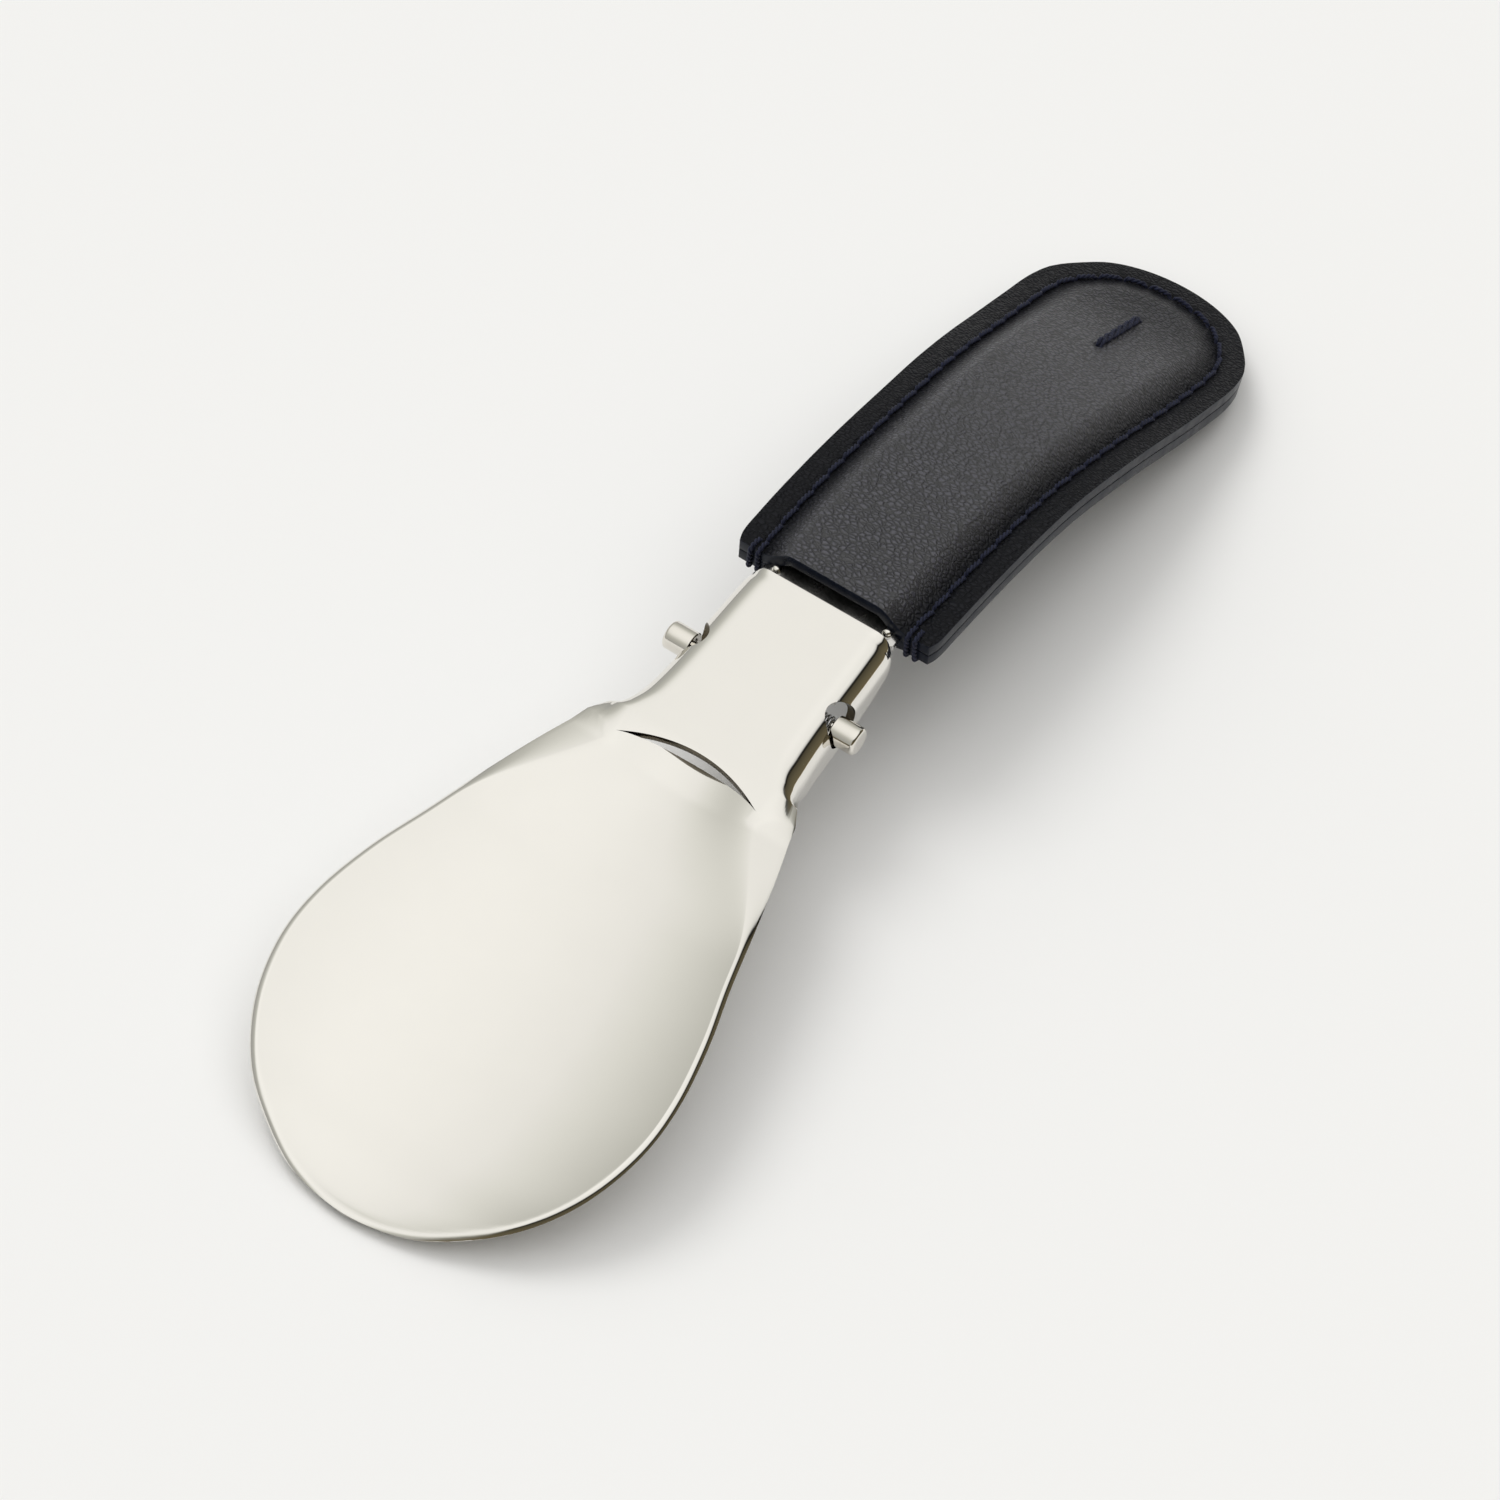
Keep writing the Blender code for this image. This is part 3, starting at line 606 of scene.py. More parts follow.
def dish_height(x, y):
    """Height of the blade's face: a hollow middle, a crest, and a lip rolled over at the rim."""
    half, rim = rim_at(y)
    lip = max(0.2, lip_width(y, half))
    depth = DISH_SLOT + (DISH_MAX - DISH_SLOT) * ease((2.0 - y) / 39.0)
    if y < RIM[6][0]:
        depth = DISH_MAX * (half / RIM[6][1]) ** 1.6
    near = 0.0 if x >= half - 1e-6 else rim_gap(x, y)
    rise = LIP_DROP * (1.0 - (1.0 - clamp01(near / max(LIP_NARROW, lip))) ** 2)
    u = min(1.0, x / max(0.2, half - lip))
    power = 1.0 + SOFT_POWER * (1.0 - ease((1.0 - y) / LIP_RUN))
    return rim + rise - depth * (1.0 - u * u) ** power


def blade_row(edge_y):
    """One row across the blade; rows bow out towards the tip until the last one follows it."""
    half = rim_at(edge_y)[0]
    lip = lip_width(edge_y, half)
    bow = (BOW_END - TIP.x) * clamp01((BOW_START - edge_y) / (BOW_START - BOW_END)) ** 1.7
    last_half = rim_at(BOW_END)[0]
    inner = FLAT_COLS + BEND_COLS - 3
    row = []
    for i in range(HALF_COLS + 1):
        if i <= inner:
            x = (half - lip) * math.sin(math.radians(90.0) * i / inner) ** 0.92
        else:
            x = half - lip + lip * (i - inner) / (HALF_COLS - inner)
        share = (tip_line(x / half * last_half) - TIP.x) / (BOW_END - TIP.x)
        y = edge_y - bow * (1.0 - clamp01(share))
        row.append((x, y, dish_height(x, y)))
    return row


def slot_edge(x, rise):
    return rise * max(0.0, 1.0 - (x / SLOT_HALF) ** 2)


def slot_rows():
    """The two edges of the slot: the neck's above, the blade's below it."""
    upper = []
    lower = []
    for x, z_top in web_section(SLOT_ROW_HALF):
        outside = ease((x - SLOT_HALF) / (SLOT_ROW_HALF - SLOT_HALF))
        dip = SLOT_STEP * max(0.0, 1.0 - (x / SLOT_HALF) ** 2) ** (1.0 + SOFT_POWER)
        upper.append((x, slot_edge(x, SLOT_NECK_RISE) + outside, z_top))
        lower.append((x, slot_edge(x, SLOT_BLADE_RISE) + outside, z_top - dip))
    return upper, lower


def build_sheet():
    columns = 2 * HALF_COLS + 1
    neck_rows = []
    for p in spline_points(list(reversed(NECK)), NECK_ROW, False):
        section = neck_section(p.y, p.z)
        web = web_section(p.y)
        share = ease((SHOULDER_TOP - p.x) / SHOULDER_RUN)
        row = []
        for (nx, nz), (wx, wz) in zip(section, web):
            row.append((nx + (wx - nx) * share, p.x, nz + (wz - nz) * share))
        neck_rows.append(mirror_row(row))
    upper, lower = slot_rows()
    neck_rows.append(mirror_row(upper))
    count = round((BLADE_TOP - BOW_END - LAST_RUN) / BLADE_ROW)
    edges = [BLADE_TOP + (BOW_END + LAST_RUN - BLADE_TOP) * k / count for k in range(count + 1)]
    edges += [BOW_END + step for step in LAST_STEPS]
    blade_rows = [mirror_row(lower)] + [mirror_row(blade_row(y)) for y in edges]
    verts = [p for row in neck_rows + blade_rows for p in row]
    faces = grid_faces(len(neck_rows), columns)
    faces += grid_faces(len(blade_rows), columns, len(neck_rows) * columns)
    obj = mesh_object("pressed_sheet", verts, faces, [nickel])
    merge(obj, 1e-5)
    solidify(obj, SHEET)
    bevel(obj, SHEET_ROUND, 4, 60.0)
    bake(obj)
    merge(obj)
    cutters = [hole_cutter(sign) for sign in (-1.0, 1.0)]
    for cutter in cutters:
        mod = obj.modifiers.new("hole", "BOOLEAN")
        mod.operation = "DIFFERENCE"
        mod.solver = "EXACT"
        mod.object = cutter
    bake(obj, 32.0)
    for cutter in cutters:
        bpy.data.objects.remove(cutter, do_unlink=True)
    # Painted shade on the walls of the holes and on the neck's edge over the slot.
    paint_shade_on_cuts(obj)
    return obj


def hole_cutter(sign):
    """What a flange's hole takes away: a cylinder with a domed inner end."""
    quarter = [math.radians(HOLE_STEP_DEG * k) for k in range(19)]
    dome = [(HOLE_R * math.sin(a), -HOLE_R * math.cos(a)) for a in quarter]
    verts, faces = turned(dome + [(HOLE_R, HOLE_REACH), (0.0, HOLE_REACH)], 96)
    shift = Vector((0.0, HOLE_Y - AXIS_Y, HOLE_Z - AXIS_Z))
    verts = [(sign * (HOLE_DOME_X + x), y + shift.y, z + shift.z) for x, y, z in verts]
    cutter = mesh_object("hole_cutter", verts, faces, [nickel])
    outward(cutter)
    return cutter


def paint_shade_on_cuts(obj):
    """Paints shade on the walls of the holes and the neck's edge over the slot, with the duller look of a
    cut.
    """
    obj.data.materials.append(shaded_cut_nickel)
    back = TURN.transposed()
    for face in obj.data.polygons:
        p = neck_frame(face.center)
        n = back @ face.normal
        out = max(0.0, HOLE_DOME_X - abs(p.x))
        reach = Vector((math.copysign(out, -p.x), p.y - HOLE_Y, p.z - HOLE_Z))
        on_hole = abs(p.x) > HOLE_WALL_X and reach.length < HOLE_R + HOLE_WALL_SLACK
        in_hole = on_hole and n.dot(reach.normalized()) < HOLE_WALL_FACING
        on_slot = abs(p.x) < SLOT_HALF and SLOT_WALL_Y[0] < p.y < SLOT_WALL_Y[1]
        in_slot = on_slot and n.y < SLOT_WALL_FACING
        if in_hole or in_slot:
            face.material_index = 1


def outward(obj):
    """Turns a closed mesh's faces to the outside."""
    bm = bmesh.new()
    bm.from_mesh(obj.data)
    bmesh.ops.recalc_face_normals(bm, faces=bm.faces)
    bm.to_mesh(obj.data)
    bm.free()


sheet = build_sheet()
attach(sheet, "blade")
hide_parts("blade_and_neck")


# ---------------------------------------------------------------- hinge: plate, barrel, buttons
def arc_table():
    step = 0.1
    table = [(ARC_START_Y, ARC_START_Z, math.radians(ARC_START_DEG))]
    s = 0.0
    while s < HANDLE_LEN + 2.0:
        s += step
        bend = ARC_RATE_DEG * min(s, ARC_TURN) + ARC_RELAX_DEG * max(0.0, s - ARC_TURN)
        a = math.radians(ARC_START_DEG + bend)
        y, z, before = table[-1]
        mid = 0.5 * (a + before)
        table.append((y + math.cos(mid) * step, z + math.sin(mid) * step, a))
    return table


ARC = arc_table()


def on_arc(s, x, lift):
    """The point at distance s along the handle, x across it, and lift above the border's top."""
    k = max(0.0, s) / 0.1
    i = min(int(k), len(ARC) - 2)
    f = k - i
    y, z, a = (ARC[i][c] + (ARC[i + 1][c] - ARC[i][c]) * f for c in range(3))
    if s < 0.0:
        y += s * math.cos(a)
        z += s * math.sin(a)
    return (x, y - math.sin(a) * lift, z + math.cos(a) * lift)


def plate_level(y):
    """Station and height of the plate's top: level at the hinge, then along the handle's arc."""
    bent = on_arc((y - ARC_START_Y) * 1.005, 0.0, PLATE_LIFT)
    top = AXIS_Z + 0.5 * PLATE
    share = ease((y - PLATE_BEND_Y) / PLATE_BEND_RUN)
    return y + (bent[1] - y) * share, top + (bent[2] - top) * share


def build_plate():
    """The flat plate from the barrel into the handle, with shoulders outside the neck."""
    stations = [(AXIS_Y + 0.9, 5.9), (AXIS_Y + 1.9, 5.9), (AXIS_Y + 2.6, 7.4)]
    stations += [(18.0 + k, 7.4) for k in range(9)]
    stations += [(26.5, 8.7), (27.75, 8.7), (27.95, 8.0), (28.5, 8.0), (29.4, 6.8)]
    stations += [(30.0 + k, 6.8) for k in range(10)] + [(40.4, 6.2)]
    rows = []
    for y, half in reversed(stations):
        yy, zz = plate_level(y)
        rows.append([(half * i / PLATE_COLS, yy, zz) for i in range(-PLATE_COLS, PLATE_COLS + 1)])
    verts = [p for row in rows for p in row]
    obj = mesh_object("hinge_plate_fine", verts, grid_faces(len(rows), len(rows[0])), [hinge_steel])
    solidify(obj, PLATE)
    bevel(obj, 0.15, 3)
    bake(obj)
    return obj


def build_barrel():
    """The tube that both buttons' shafts run in."""
    edge = 0.15
    x = BARREL_HALF
    profile = [(BARREL_BORE, -x + edge), (BARREL_BORE + edge, -x), (BARREL_R - edge, -x),
               (BARREL_R, -x + edge), (BARREL_R, x - edge), (BARREL_R - edge, x),
               (BARREL_BORE + edge, x), (BARREL_BORE, x - edge), (BARREL_BORE, -x + edge)]
    verts, faces = turned(profile, 48)
    obj = mesh_object("hinge_barrel", verts, faces, [hinge_steel], 50.0)
    merge(obj)
    outward(obj)
    return obj


plate = build_plate()
barrel = build_barrel()
for piece in (plate, barrel):
    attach(piece, "handle")
    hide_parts("hinge_plate")


def rounded(r, x, radius, steps=5):
    """Points of a quarter round from a cylinder of radius r to its end face at x."""
    out = []
    for k in range(steps + 1):
        a = math.radians(90.0) * k / steps
        out.append((r - radius + radius * math.cos(a), x - radius + radius * math.sin(a)))
    return out


def build_button(side, sign):
    """A collar inside the barrel, a thin shaft and a round head with a soft outer edge."""
    profile = [(0.0, STUB_IN), (STUB_R - 0.1, STUB_IN), (STUB_R, STUB_IN + 0.1),
               (STUB_R, STUB_IN + STUB_LEN), (SHAFT_R, STUB_IN + STUB_LEN), (SHAFT_R, HEAD_IN),
               (HEAD_R - 0.12, HEAD_IN), (HEAD_R, HEAD_IN + 0.12), (HEAD_R, HEAD_IN + 0.6),
               (HEAD_R, HEAD_OUT - 1.0)]
    profile += rounded(HEAD_R, HEAD_OUT, 0.42)
    profile += [(HEAD_R * 0.45, HEAD_OUT), (0.0, HEAD_OUT)]
    verts, faces = turned([(r, x * sign) for r, x in profile], 64)
    obj = mesh_object("push_" + side, verts, faces, [button_steel], 32.0)
    outward(obj)
    return obj


def build_spring(side, sign):
    """A coil between the barrel and a button's head, with the distances of its two ends."""
    x0 = BARREL_HALF + SPRING_IN_GAP
    x1 = HEAD_IN - SPRING_OUT_GAP
    count = SPRING_TURNS * SPRING_STEPS
    points = []
    for i in range(count + 1):
        a = 2.0 * math.pi * SPRING_TURNS * i / count
        x = sign * (x0 + (x1 - x0) * i / count)
        points.append((x, AXIS_Y + SPRING_R * math.cos(a), AXIS_Z + SPRING_R * math.sin(a)))
    verts = []
    faces = []
    tube(points, SPRING_WIRE, 10, verts, faces)
    obj = mesh_object("coil_" + side, verts, faces, [spring_steel], 60.0)
    outward(obj)
    return obj, x0, x1


def build_rivet(side, sign):
    """A domed head on a thin flange."""
    seat = plate_level(RIVET_Y)[1] + 0.03
    verts = []
    rings = []
    profile = [(RIVET_R, 0.0), (RIVET_R, 0.06)]
    for k in range(1, 9):
        a = math.radians(90.0) * k / 8.0
        profile.append((RIVET_R * 0.97 * math.cos(a), 0.06 + RIVET_R * 0.9 * math.sin(a)))
    steps = 36
    for r, z in profile[:-1]:
        rings.append(len(verts))
        for k in range(steps):
            a = 2.0 * math.pi * k / steps
            verts.append((RIVET_X * sign + r * math.cos(a), RIVET_Y + r * math.sin(a), seat + z))
    top = len(verts)
    verts.append((RIVET_X * sign, RIVET_Y, seat + profile[-1][1]))
    faces = [tuple(range(steps))[::-1]]
    for low, high in zip(rings, rings[1:]):
        for k in range(steps):
            n = (k + 1) % steps
            faces.append((low + k, low + n, high + n, high + k))
    for k in range(steps):
        faces.append((rings[-1] + k, rings[-1] + (k + 1) % steps, top))
    return mesh_object("rivet_" + side, verts, faces, [rivet_nickel], 50.0)


for side, sign in (("left", -1.0), ("right", 1.0)):
    button = build_button(side, sign)
    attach(button, "button_" + side)
    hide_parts("button_" + side)
    coil, near, far = build_spring(side, sign)
    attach(coil, "handle")
    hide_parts("button_spring_" + side)
    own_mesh(coil)
    rivet = build_rivet(side, sign)
    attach(rivet, "handle")
    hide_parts("hinge_rivet_" + side)

frame["nodes"]["core_strip"].data.materials.clear()
frame["nodes"]["core_strip"].data.materials.append(core_steel)

# ---------------------------------------------------------------- leather handle
EDGE_PATH = spline_points(OUTLINE, 0.6, True)
STEP = 0.42
END_EDGE = 70.0
END_BOW_START = 40.0
BORDER_GAP = 0.7
GRID_HALF = 34
GROOVE = 0.10
GROOVE_R = 0.45
DENT = 0.30
DENT_SPREAD = 0.12
PUCKER = 0.06
PUCKER_SPREAD = 0.9
DENT_REACH = 1.8
UNEVEN = 0.07


def edge_distance(s, x):
    """Distance from the handle's edge, leaving the open mouth out."""
    x = abs(x)
    best = 99.0
    for a, b in zip(EDGE_PATH, EDGE_PATH[1:]):
        if abs(a.x - s) > best + 1.0:
            continue
        dx, dy = b.x - a.x, b.y - a.y
        t = clamp01(((s - a.x) * dx + (x - a.y) * dy) / (dx * dx + dy * dy))
        best = min(best, math.hypot(a.x + dx * t - s, a.y + dy * t - x))
    return best


def puff_of(distance, s):
    """How far the padding lifts the leather, 0 to 1; it fades towards the handle's end."""
    edge = ease((distance - PUFF_START) / PUFF_RUN)
    return edge * (1.0 - PUFF_FADE * ease((s - PUFF_FADE_S) / PUFF_FADE_RUN))


def edge_half(s):
    """Half the handle's width at distance s along it."""
    for a, b in zip(EDGE_PATH, EDGE_PATH[1:]):
        if b.x >= s:
            return a.y + (b.y - a.y) * clamp01((s - a.x) / max(1e-9, b.x - a.x))
    return 0.0


def end_line(x):
    """Distance along the handle of its rounded end, at x from the middle."""
    for a, b in zip(reversed(EDGE_PATH[:-1]), reversed(EDGE_PATH)):
        if a.y >= x:
            return b.x + (a.x - b.x) * clamp01((x - b.y) / max(1e-9, a.y - b.y))
    return EDGE_PATH[0].x


def handle_grid():
    """Rows of (s, x) over the handle's outline; the last row follows its rounded end."""
    first = OUTLINE[0][0]
    count = round((END_EDGE - first - 2.0 * BORDER_GAP) / STEP)
    run = END_EDGE - first - 2.0 * BORDER_GAP
    stations = [first] + [first + BORDER_GAP + run * k / count for k in range(count + 1)] + [END_EDGE]
    end_half = edge_half(END_EDGE)
    rows = []
    for edge_s in stations:
        half = edge_half(edge_s)
        bow = (HANDLE_LEN - END_EDGE) * clamp01((edge_s - END_BOW_START) / (END_EDGE - END_BOW_START)) ** 1.6
        row = []
        for i in range(GRID_HALF + 2):
            x = half if i > GRID_HALF else (half - BORDER_GAP) * i / GRID_HALF
            share = (HANDLE_LEN - end_line(x / half * end_half)) / (HANDLE_LEN - END_EDGE)
            row.append((edge_s + bow * (1.0 - clamp01(share)), x))
        rows.append([(s, -x) for s, x in row[:0:-1]] + row)
    return rows


def stitch_line():
    """Evenly spaced needle holes, from one mouth corner round the end to the other."""
    right = []
    for k in range(1, len(EDGE_PATH) - 1):
        tx = EDGE_PATH[k + 1].x - EDGE_PATH[k - 1].x
        ty = EDGE_PATH[k + 1].y - EDGE_PATH[k - 1].y
        size = math.hypot(tx, ty)
        s = EDGE_PATH[k].x + STITCH_IN * ty / size
        x = EDGE_PATH[k].y - STITCH_IN * tx / size
        if s > 1.8 and x > 0.5:
            right.append((s, x))
    path = right + [(HANDLE_LEN - STITCH_IN, 0.0)] + [(s, -x) for s, x in reversed(right)]
    lengths = [0.0]
    for a, b in zip(path, path[1:]):
        lengths.append(lengths[-1] + math.dist(a, b))
    count = round(lengths[-1] / STITCH_PITCH)
    holes = []
    k = 0
    for i in range(count + 1):
        goal = lengths[-1] * i / count
        while k < len(path) - 2 and lengths[k + 1] < goal:
            k += 1
        t = (goal - lengths[k]) / (lengths[k + 1] - lengths[k])
        holes.append((path[k][0] + (path[k + 1][0] - path[k][0]) * t,
                      path[k][1] + (path[k + 1][1] - path[k][1]) * t))
    return holes


HOLES = stitch_line()
TACK_HOLES = [(TACK_S0, 0.0), (TACK_S1, 0.0)]


def surface(s, x, distance, puff, marks):
    """Height of a leather face over its border: padding, thread groove, needle dents, soft edge."""
    lift = puff * puff_of(distance, s)
    lift -= GROOVE * math.exp(-((distance - STITCH_IN) / GROOVE_R) ** 2)
    for hs, hx in marks:
        ds, dx = s - hs, x - hx
        if abs(ds) < DENT_REACH and abs(dx) < DENT_REACH:
            r2 = ds * ds + dx * dx
            lift -= DENT * math.exp(-r2 / DENT_SPREAD) + PUCKER * math.exp(-r2 / PUCKER_SPREAD)
    if distance > PUFF_START:
        p = Vector((s * 0.11, x * 0.17, puff))
        lift += UNEVEN * noise.noise(p) * ease((distance - PUFF_START) / 3.0)
    return lift


def build_leather(name, grid, top_puff, back, mats, thickness):
    """One leather layer; the back one bulges downwards. Its puff is kept for the material, which paints
    shade on the border with it.
    """
    columns = len(grid[0])
    verts = []
    heights = []
    for row in grid:
        for s, x in row:
            d = edge_distance(s, x)
            if back:
                lift = -STACK - LEATHER - surface(s, x, d, top_puff, HOLES)
            else:
                lift = surface(s, x, d, top_puff, HOLES + TACK_HOLES)
            verts.append(on_arc(s, x, lift))
            heights.append(puff_of(d, s))
    faces = []
    for i in range(len(grid) - 1):
        for j in range(columns - 1):
            a = i * columns + j
            quad = (a, a + 1, a + columns + 1, a + columns)
            faces.append(quad[::-1] if back else quad)
    obj = mesh_object(name, verts, faces, mats, 60.0)
    # The puff also drives the painted shade of the border, in the leather material.
    puffs = obj.data.attributes.new("puff", "FLOAT", "POINT")
    puffs.data.foreach_set("value", heights)
    solidify(obj, thickness, 1)
    bevel(obj, 0.42, 4, 60.0)
    bake(obj, 60.0)
    return obj


GRID = handle_grid()
front = build_leather("front_leather_cover", GRID, PUFF, False, [front_leather, painted_edge],
                      STACK - 0.5 * SEAM - 0.15)
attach(front, "handle")
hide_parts("leather_front")
rear = build_leather("back_leather_cover", GRID, BACK_PUFF, True, [back_leather, painted_edge],
                     LEATHER + 0.1)
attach(rear, "handle")
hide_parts("leather_back")


def build_padding():
    """The filler slab between the core strip and the front leather, with rounded edges."""
    rows = []
    for k in range(PAD_ROWS):
        s = PAD_END - PAD_RUN * k / (PAD_ROWS - 1.0)
        row = []
        for i in range(-PAD_COLS, PAD_COLS + 1):
            x = PAD_HALF * i / PAD_COLS
            row.append(on_arc(s, x, PUFF * puff_of(edge_distance(s, x), s) - LEATHER - PAD_DROP))
        rows.append(row)
    verts = [p for row in rows for p in row]
    obj = mesh_object("padding_slab", verts, grid_faces(len(rows), len(rows[0])), [padding_felt])
    solidify(obj, PAD)
    bevel(obj, 0.2, 2)
    return bake(obj)


padding = build_padding()
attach(padding, "handle")
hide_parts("padding")


# ---------------------------------------------------------------- thread
PLIES = 2
PLY_R = 0.165
PLY_OFF = 0.145
TWIST = 1.25
STITCH_STEPS = 16
STITCH_LEAN = 0.20
STITCH_WANDER = 0.01
STITCH_SINK = 0.34
STITCH_RISE = 0.50
# at each mouth corner, how far out each wrap sits and how much it slants
WRAPS = ((0.0, 0.0), (1.05, 0.35))
TACK_STRANDS = 3
TACK_STEPS = 48
TACK_LAY = 5.2
TACK_HALF = 0.34
TACK_LIFT = 0.26
TACK_ROUND = 0.14
TACK_DIP = 0.55
TACK_PLY_R = 0.15
TACK_PLY_OFF = 0.13
TACK_TWIST = 1.1


def twisted(points, ups, verts, faces, ply_r=PLY_R, ply_off=PLY_OFF, twist=TWIST, phase=0.0):
    """Adds a twisted thread along points; ups are the directions away from the leather."""
    pts = [Vector(p) for p in points]
    run = [0.0]
    for a, b in zip(pts, pts[1:]):
        run.append(run[-1] + (b - a).length)
    for ply in range(PLIES):
        line = []
        for k, p in enumerate(pts):
            along = (pts[min(k + 1, len(pts) - 1)] - pts[max(k - 1, 0)]).normalized()
            up = (Vector(ups[k]) - along * Vector(ups[k]).dot(along)).normalized()
            across = along.cross(up)
            a = 2.0 * math.pi * (run[k] / twist + ply / PLIES) + phase
            line.append(p + across * (ply_off * math.cos(a)) + up * (ply_off * math.sin(a)))
        tube(line, ply_r, 8, verts, faces, 0.25)


def arc_up(s):
    """The direction away from the front leather, at distance s along the handle."""
    low = Vector(on_arc(s, 0.0, 0.0))
    return Vector(on_arc(s, 0.0, 1.0)) - low


def build_stitches(name, back):
    """One row of separate stitches, each dipping into its needle holes and leaning a little."""
    verts = []
    faces = []
    flip = -1.0 if back else 1.0
    base = -STACK - LEATHER if back else 0.0
    for k, (a, b) in enumerate(zip(HOLES, HOLES[1:])):
        ds, dx = b[0] - a[0], b[1] - a[1]
        size = math.hypot(ds, dx)
        ns, nx = -dx / size, ds / size
        points = []
        ups = []
        for i in range(STITCH_STEPS + 1):
            t = i / STITCH_STEPS
            along = 0.06 + 0.88 * t
            lean = STITCH_LEAN * (t - 0.5) + random.uniform(-STITCH_WANDER, STITCH_WANDER)
            s = a[0] + ds * along + ns * lean
            x = a[1] + dx * along + nx * lean
            dome = min(1.0, 2.6 * math.sin(math.pi * t)) ** 0.8 if 0.0 < t < 1.0 else 0.0
            lift = -STITCH_SINK + STITCH_RISE * dome + 0.05 * math.sin(math.pi * t)
            points.append(on_arc(s, x, base + flip * lift))
            ups.append(arc_up(s) * flip)
        twisted(points, ups, verts, faces, phase=random.uniform(0.0, 6.28))
    return mesh_object(name, verts, faces, [navy_thread], 60.0)


def build_wraps():
    """Stitches that close the mouth's corners: each passes over the cut edge from front to back."""
    verts = []
    faces = []
    mouth = OUTLINE[0][0]
    hole = HOLES[0][0]
    under = -STACK - LEATHER
    over = [(hole, -0.30), (hole - 0.35, 0.16), (mouth + 0.2, 0.20), (mouth - 0.22, -0.05),
            (mouth - 0.32, -0.6)]
    turn = over + [(mouth - 0.32, 0.5 * under)] + [(s, under - lift) for s, lift in reversed(over)]
    for sign in (-1.0, 1.0):
        for offset, slant in WRAPS:
            x0 = sign * (abs(HOLES[0][1]) + offset)
            smooth = spline_points(turn, 0.16, False)
            points = []
            ups = []
            for k, p in enumerate(smooth):
                share = k / (len(smooth) - 1.0)
                x = x0 + sign * slant * (share - 0.5)
                points.append(on_arc(p.x, x, p.y))
                ups.append(Vector((sign, 0.0, 0.3)))
            twisted(points, ups, verts, faces)
    return mesh_object("mouth_wraps", verts, faces, [navy_thread], 60.0)


def build_tack():
    """The bar tack: three threads laid together and turned about each other."""
    verts = []
    faces = []
    for strand in range(TACK_STRANDS):
        points = []
        ups = []
        for i in range(TACK_STEPS + 1):
            t = i / TACK_STEPS
            s = TACK_S0 + (TACK_S1 - TACK_S0) * t
            a = 2.0 * math.pi * (s / TACK_LAY + strand / TACK_STRANDS)
            dip = TACK_DIP * (1.0 - clamp01(min(t, 1.0 - t) / 0.05))
            face = PUFF * puff_of(edge_distance(s, 0.0), s)
            lift = face + TACK_LIFT + TACK_ROUND * math.sin(a) - dip
            points.append(on_arc(s, TACK_HALF * math.cos(a), lift))
            ups.append(arc_up(s))
        twisted(points, ups, verts, faces, TACK_PLY_R, TACK_PLY_OFF, TACK_TWIST, strand * 2.0)
    return mesh_object("tack_thread_bar", verts, faces, [navy_thread], 60.0)


for piece, node, slot_name in ((build_stitches("front_stitches", False), "edge_stitching", "navy_thread"),
                               (build_stitches("back_stitches", True), "edge_stitching", "navy_thread"),
                               (build_wraps(), "edge_stitching", "navy_thread"),
                               (build_tack(), "bar_tack", "tack_thread")):
    outward(piece)
    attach(piece, "handle")
    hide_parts(node)


# ---------------------------------------------------------------- studio
FLOOR_HALF = 3.0
KEY_TOWARD = (-0.58, 0.16, 0.80)
CAMERA_SPOT = (230.237, -323.891, 638.375)
CAMERA_YAW = math.radians(34.426)
CAMERA_PITCH = math.radians(57.936)
CAMERA_LENS = 170.76
# brightness of the room by the height of a direction: 0 is level, 1 straight up
LEFT_WALL = [(0.0, (0.40, 0.40, 0.38)), (0.20, (0.44, 0.44, 0.42)), (0.40, (0.50, 0.50, 0.465)),
             (0.58, (0.60, 0.60, 0.56)), (0.74, (0.84, 0.84, 0.80)), (0.83, (0.96, 0.955, 0.93)),
             (1.0, (1.08, 1.075, 1.05))]
RIGHT_WALL = [(0.0, (0.42, 0.35, 0.20)), (0.035, (0.15, 0.125, 0.075)), (0.35, (0.115, 0.098, 0.06)),
              (0.56, (0.075, 0.065, 0.042)), (0.64, (0.012, 0.011, 0.009)), (0.68, (0.03, 0.03, 0.028)),
              (0.73, (0.72, 0.72, 0.70)), (0.80, (0.96, 0.955, 0.93)), (1.0, (1.05, 1.045, 1.02))]


def build_floor():
    """A plain sheet of pale paper, level with the part's lowest point."""
    mesh = bpy.data.meshes.new("floor")
    half = FLOOR_HALF
    mesh.from_pydata([(-half, -half, 0.0), (half, -half, 0.0), (half, half, 0.0), (-half, half, 0.0)],
                     [], [(0, 1, 2, 3)])
    floor = bpy.data.objects.new("floor", mesh)
    bpy.context.scene.collection.objects.link(floor)
    n = Nodes("floor_paper", (0.84, 0.84, 0.845), 0.0, 0.9)
    n.set(n.shader, "Specular IOR Level", 0.1)
    mesh.materials.append(n.mat)


def ramp_node(tree, value, stops):
    """A colour ramp through (position, colour) stops."""
    node = tree.nodes.new("ShaderNodeValToRGB")
    tree.links.new(value, node.inputs["Fac"])
    elements = node.color_ramp.elements
    elements[0].position = stops[0][0]
    elements[1].position = stops[-1][0]
    for position, _ in stops[1:-1]:
        elements.new(position)
    for element, (position, color) in zip(elements, stops):
        element.position = position
        element.color = (*color, 1.0)
    return node.outputs["Color"]


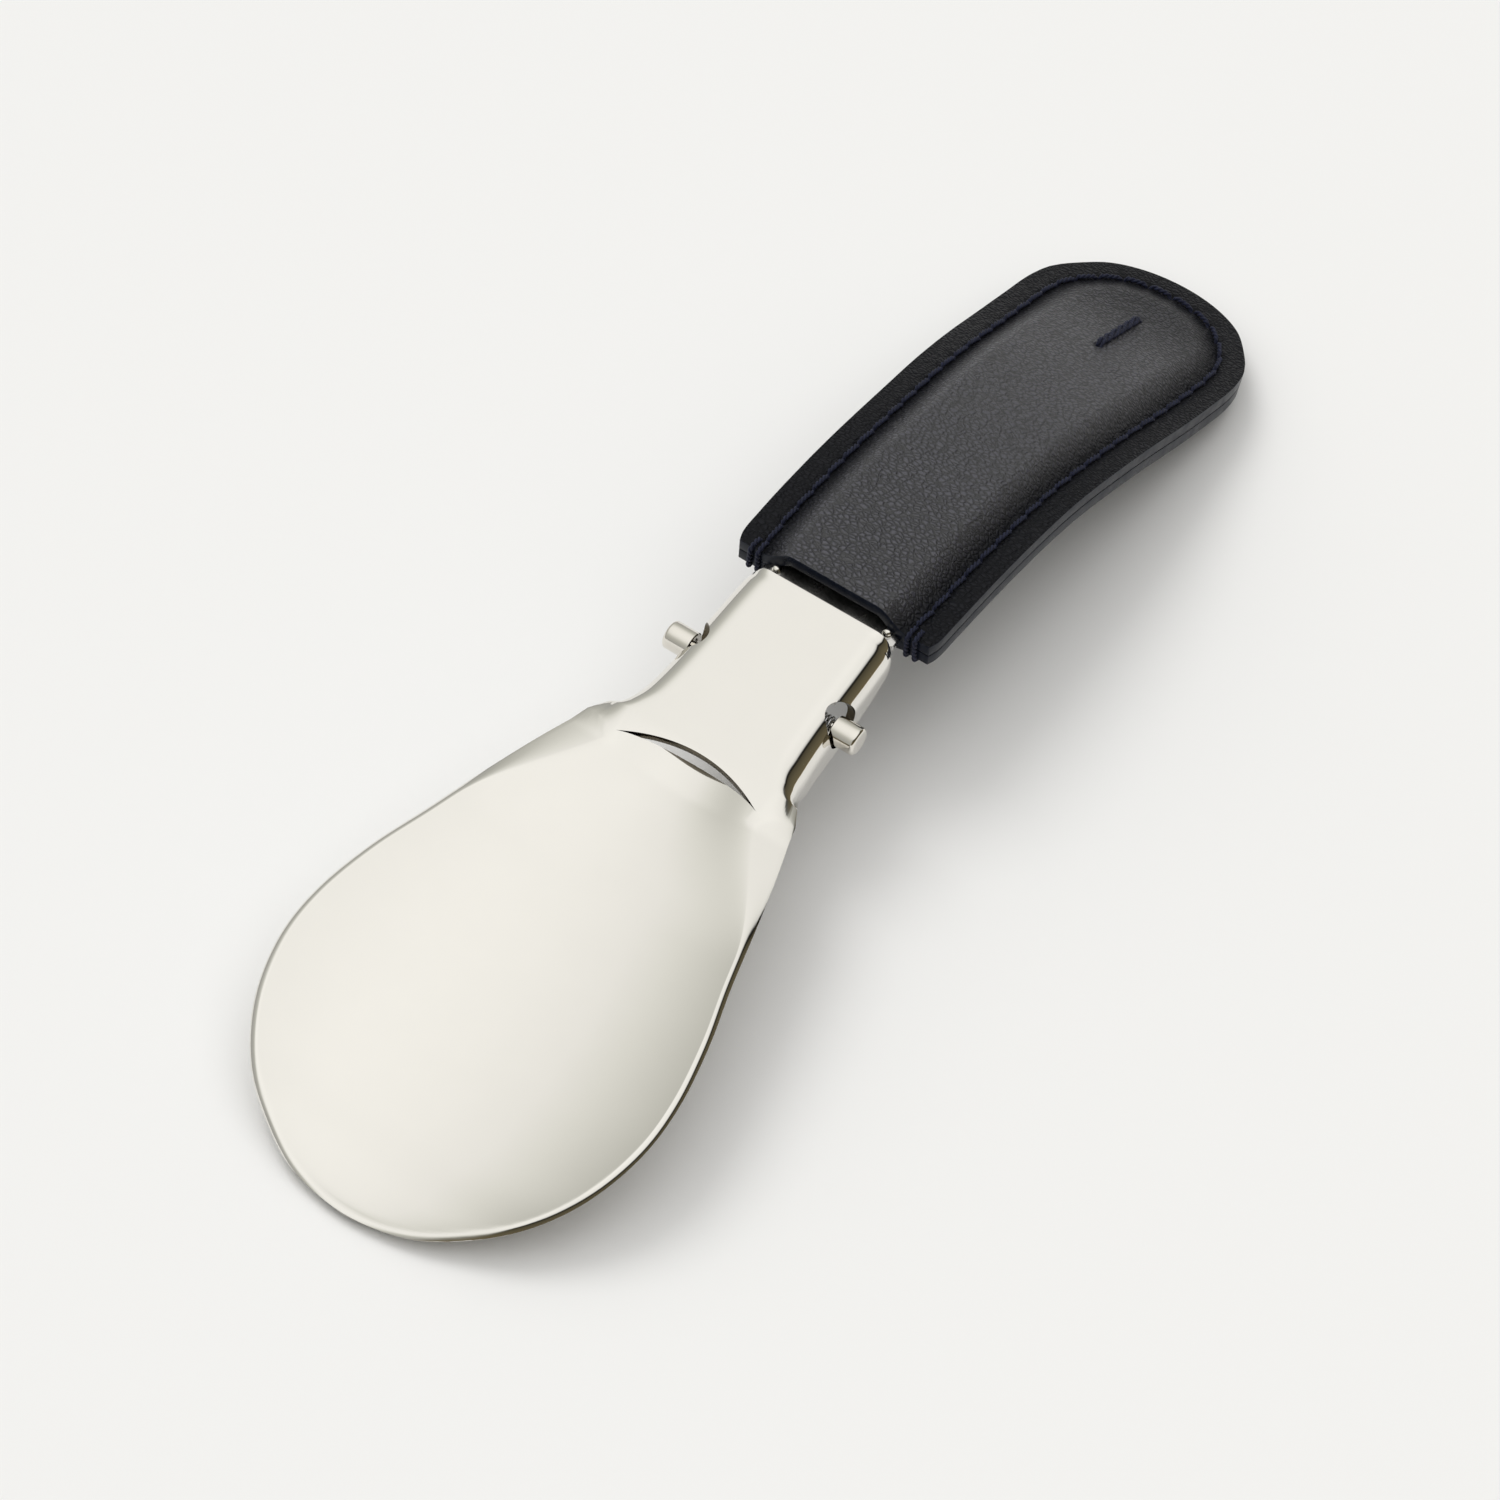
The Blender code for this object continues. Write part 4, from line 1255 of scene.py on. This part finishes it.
def build_world():
    """What polished metal sees: a white ceiling, a pale wall on the left, a dark room on the right."""
    studio = bpy.data.worlds.new("studio")
    bpy.context.scene.world = studio
    studio.use_nodes = True
    tree = studio.node_tree
    tree.nodes.clear()
    out = tree.nodes.new("ShaderNodeOutputWorld")
    where = tree.nodes.new("ShaderNodeTexCoord")
    split = tree.nodes.new("ShaderNodeSeparateXYZ")
    tree.links.new(where.outputs["Generated"], split.inputs["Vector"])
    left = ramp_node(tree, split.outputs["Z"], LEFT_WALL)
    right = ramp_node(tree, split.outputs["Z"], RIGHT_WALL)
    turn = tree.nodes.new("ShaderNodeMapRange")
    turn.interpolation_type = "SMOOTHSTEP"
    turn.inputs["From Min"].default_value = 0.0
    turn.inputs["From Max"].default_value = 0.35
    tree.links.new(split.outputs["X"], turn.inputs["Value"])
    walls = tree.nodes.new("ShaderNodeMix")
    walls.data_type = "RGBA"
    tree.links.new(turn.outputs["Result"], walls.inputs["Factor"])
    tree.links.new(left, walls.inputs["A"])
    tree.links.new(right, walls.inputs["B"])
    sky = tree.nodes.new("ShaderNodeBackground")
    tree.links.new(walls.outputs["Result"], sky.inputs["Color"])
    sky.inputs["Strength"].default_value = 1.0
    paper = tree.nodes.new("ShaderNodeBackground")
    paper.inputs["Color"].default_value = (0.88, 0.88, 0.88, 1.0)
    kind = tree.nodes.new("ShaderNodeLightPath")
    mix = tree.nodes.new("ShaderNodeMixShader")
    tree.links.new(kind.outputs["Is Camera Ray"], mix.inputs["Fac"])
    tree.links.new(sky.outputs["Background"], mix.inputs[1])
    tree.links.new(paper.outputs["Background"], mix.inputs[2])
    tree.links.new(mix.outputs["Shader"], out.inputs["Surface"])


def sun(name, energy, angle_deg):
    """A soft light from far away that polished metal doesn't mirror."""
    data = bpy.data.lights.new(name, "SUN")
    data.energy = energy
    data.angle = math.radians(angle_deg)
    light = bpy.data.objects.new(name, data)
    bpy.context.scene.collection.objects.link(light)
    light.visible_glossy = False
    return light


def build_lights():
    """A broad key from the upper left for the soft shadow, and a very wide fill from straight above."""
    key = sun("key", 0.8, 30.0)
    key.data.color = (1.0, 0.99, 0.97)
    key.rotation_mode = "QUATERNION"
    key.rotation_quaternion = Vector(KEY_TOWARD).normalized().to_track_quat("Z", "Y")
    sun("fill", 0.64, 130.0)


def build_camera():
    """A long lens from high on the right, placed and turned in the neck's own frame."""
    yaw = CAMERA_YAW
    pitch = CAMERA_PITCH
    right = Vector((math.cos(yaw), math.sin(yaw), 0.0))
    up = Vector((-math.sin(yaw) * math.sin(pitch), math.cos(yaw) * math.sin(pitch), math.cos(pitch)))
    back = right.cross(up)
    data = bpy.data.cameras.new("camera")
    data.sensor_width = 36.0
    data.lens = CAMERA_LENS
    data.clip_start = 0.05
    data.clip_end = 20.0
    camera = bpy.data.objects.new("camera", data)
    bpy.context.scene.collection.objects.link(camera)
    axes = [TURN @ axis for axis in (right, up, back)]
    matrix = Matrix.Identity(4)
    for column, axis in enumerate(axes):
        for row in range(3):
            matrix[row][column] = axis[row]
    matrix.translation = world(CAMERA_SPOT)
    camera.matrix_world = matrix
    bpy.context.scene.camera = camera


build_floor()
build_world()
build_lights()
build_camera()
bpy.context.scene.view_settings.view_transform = "Standard"
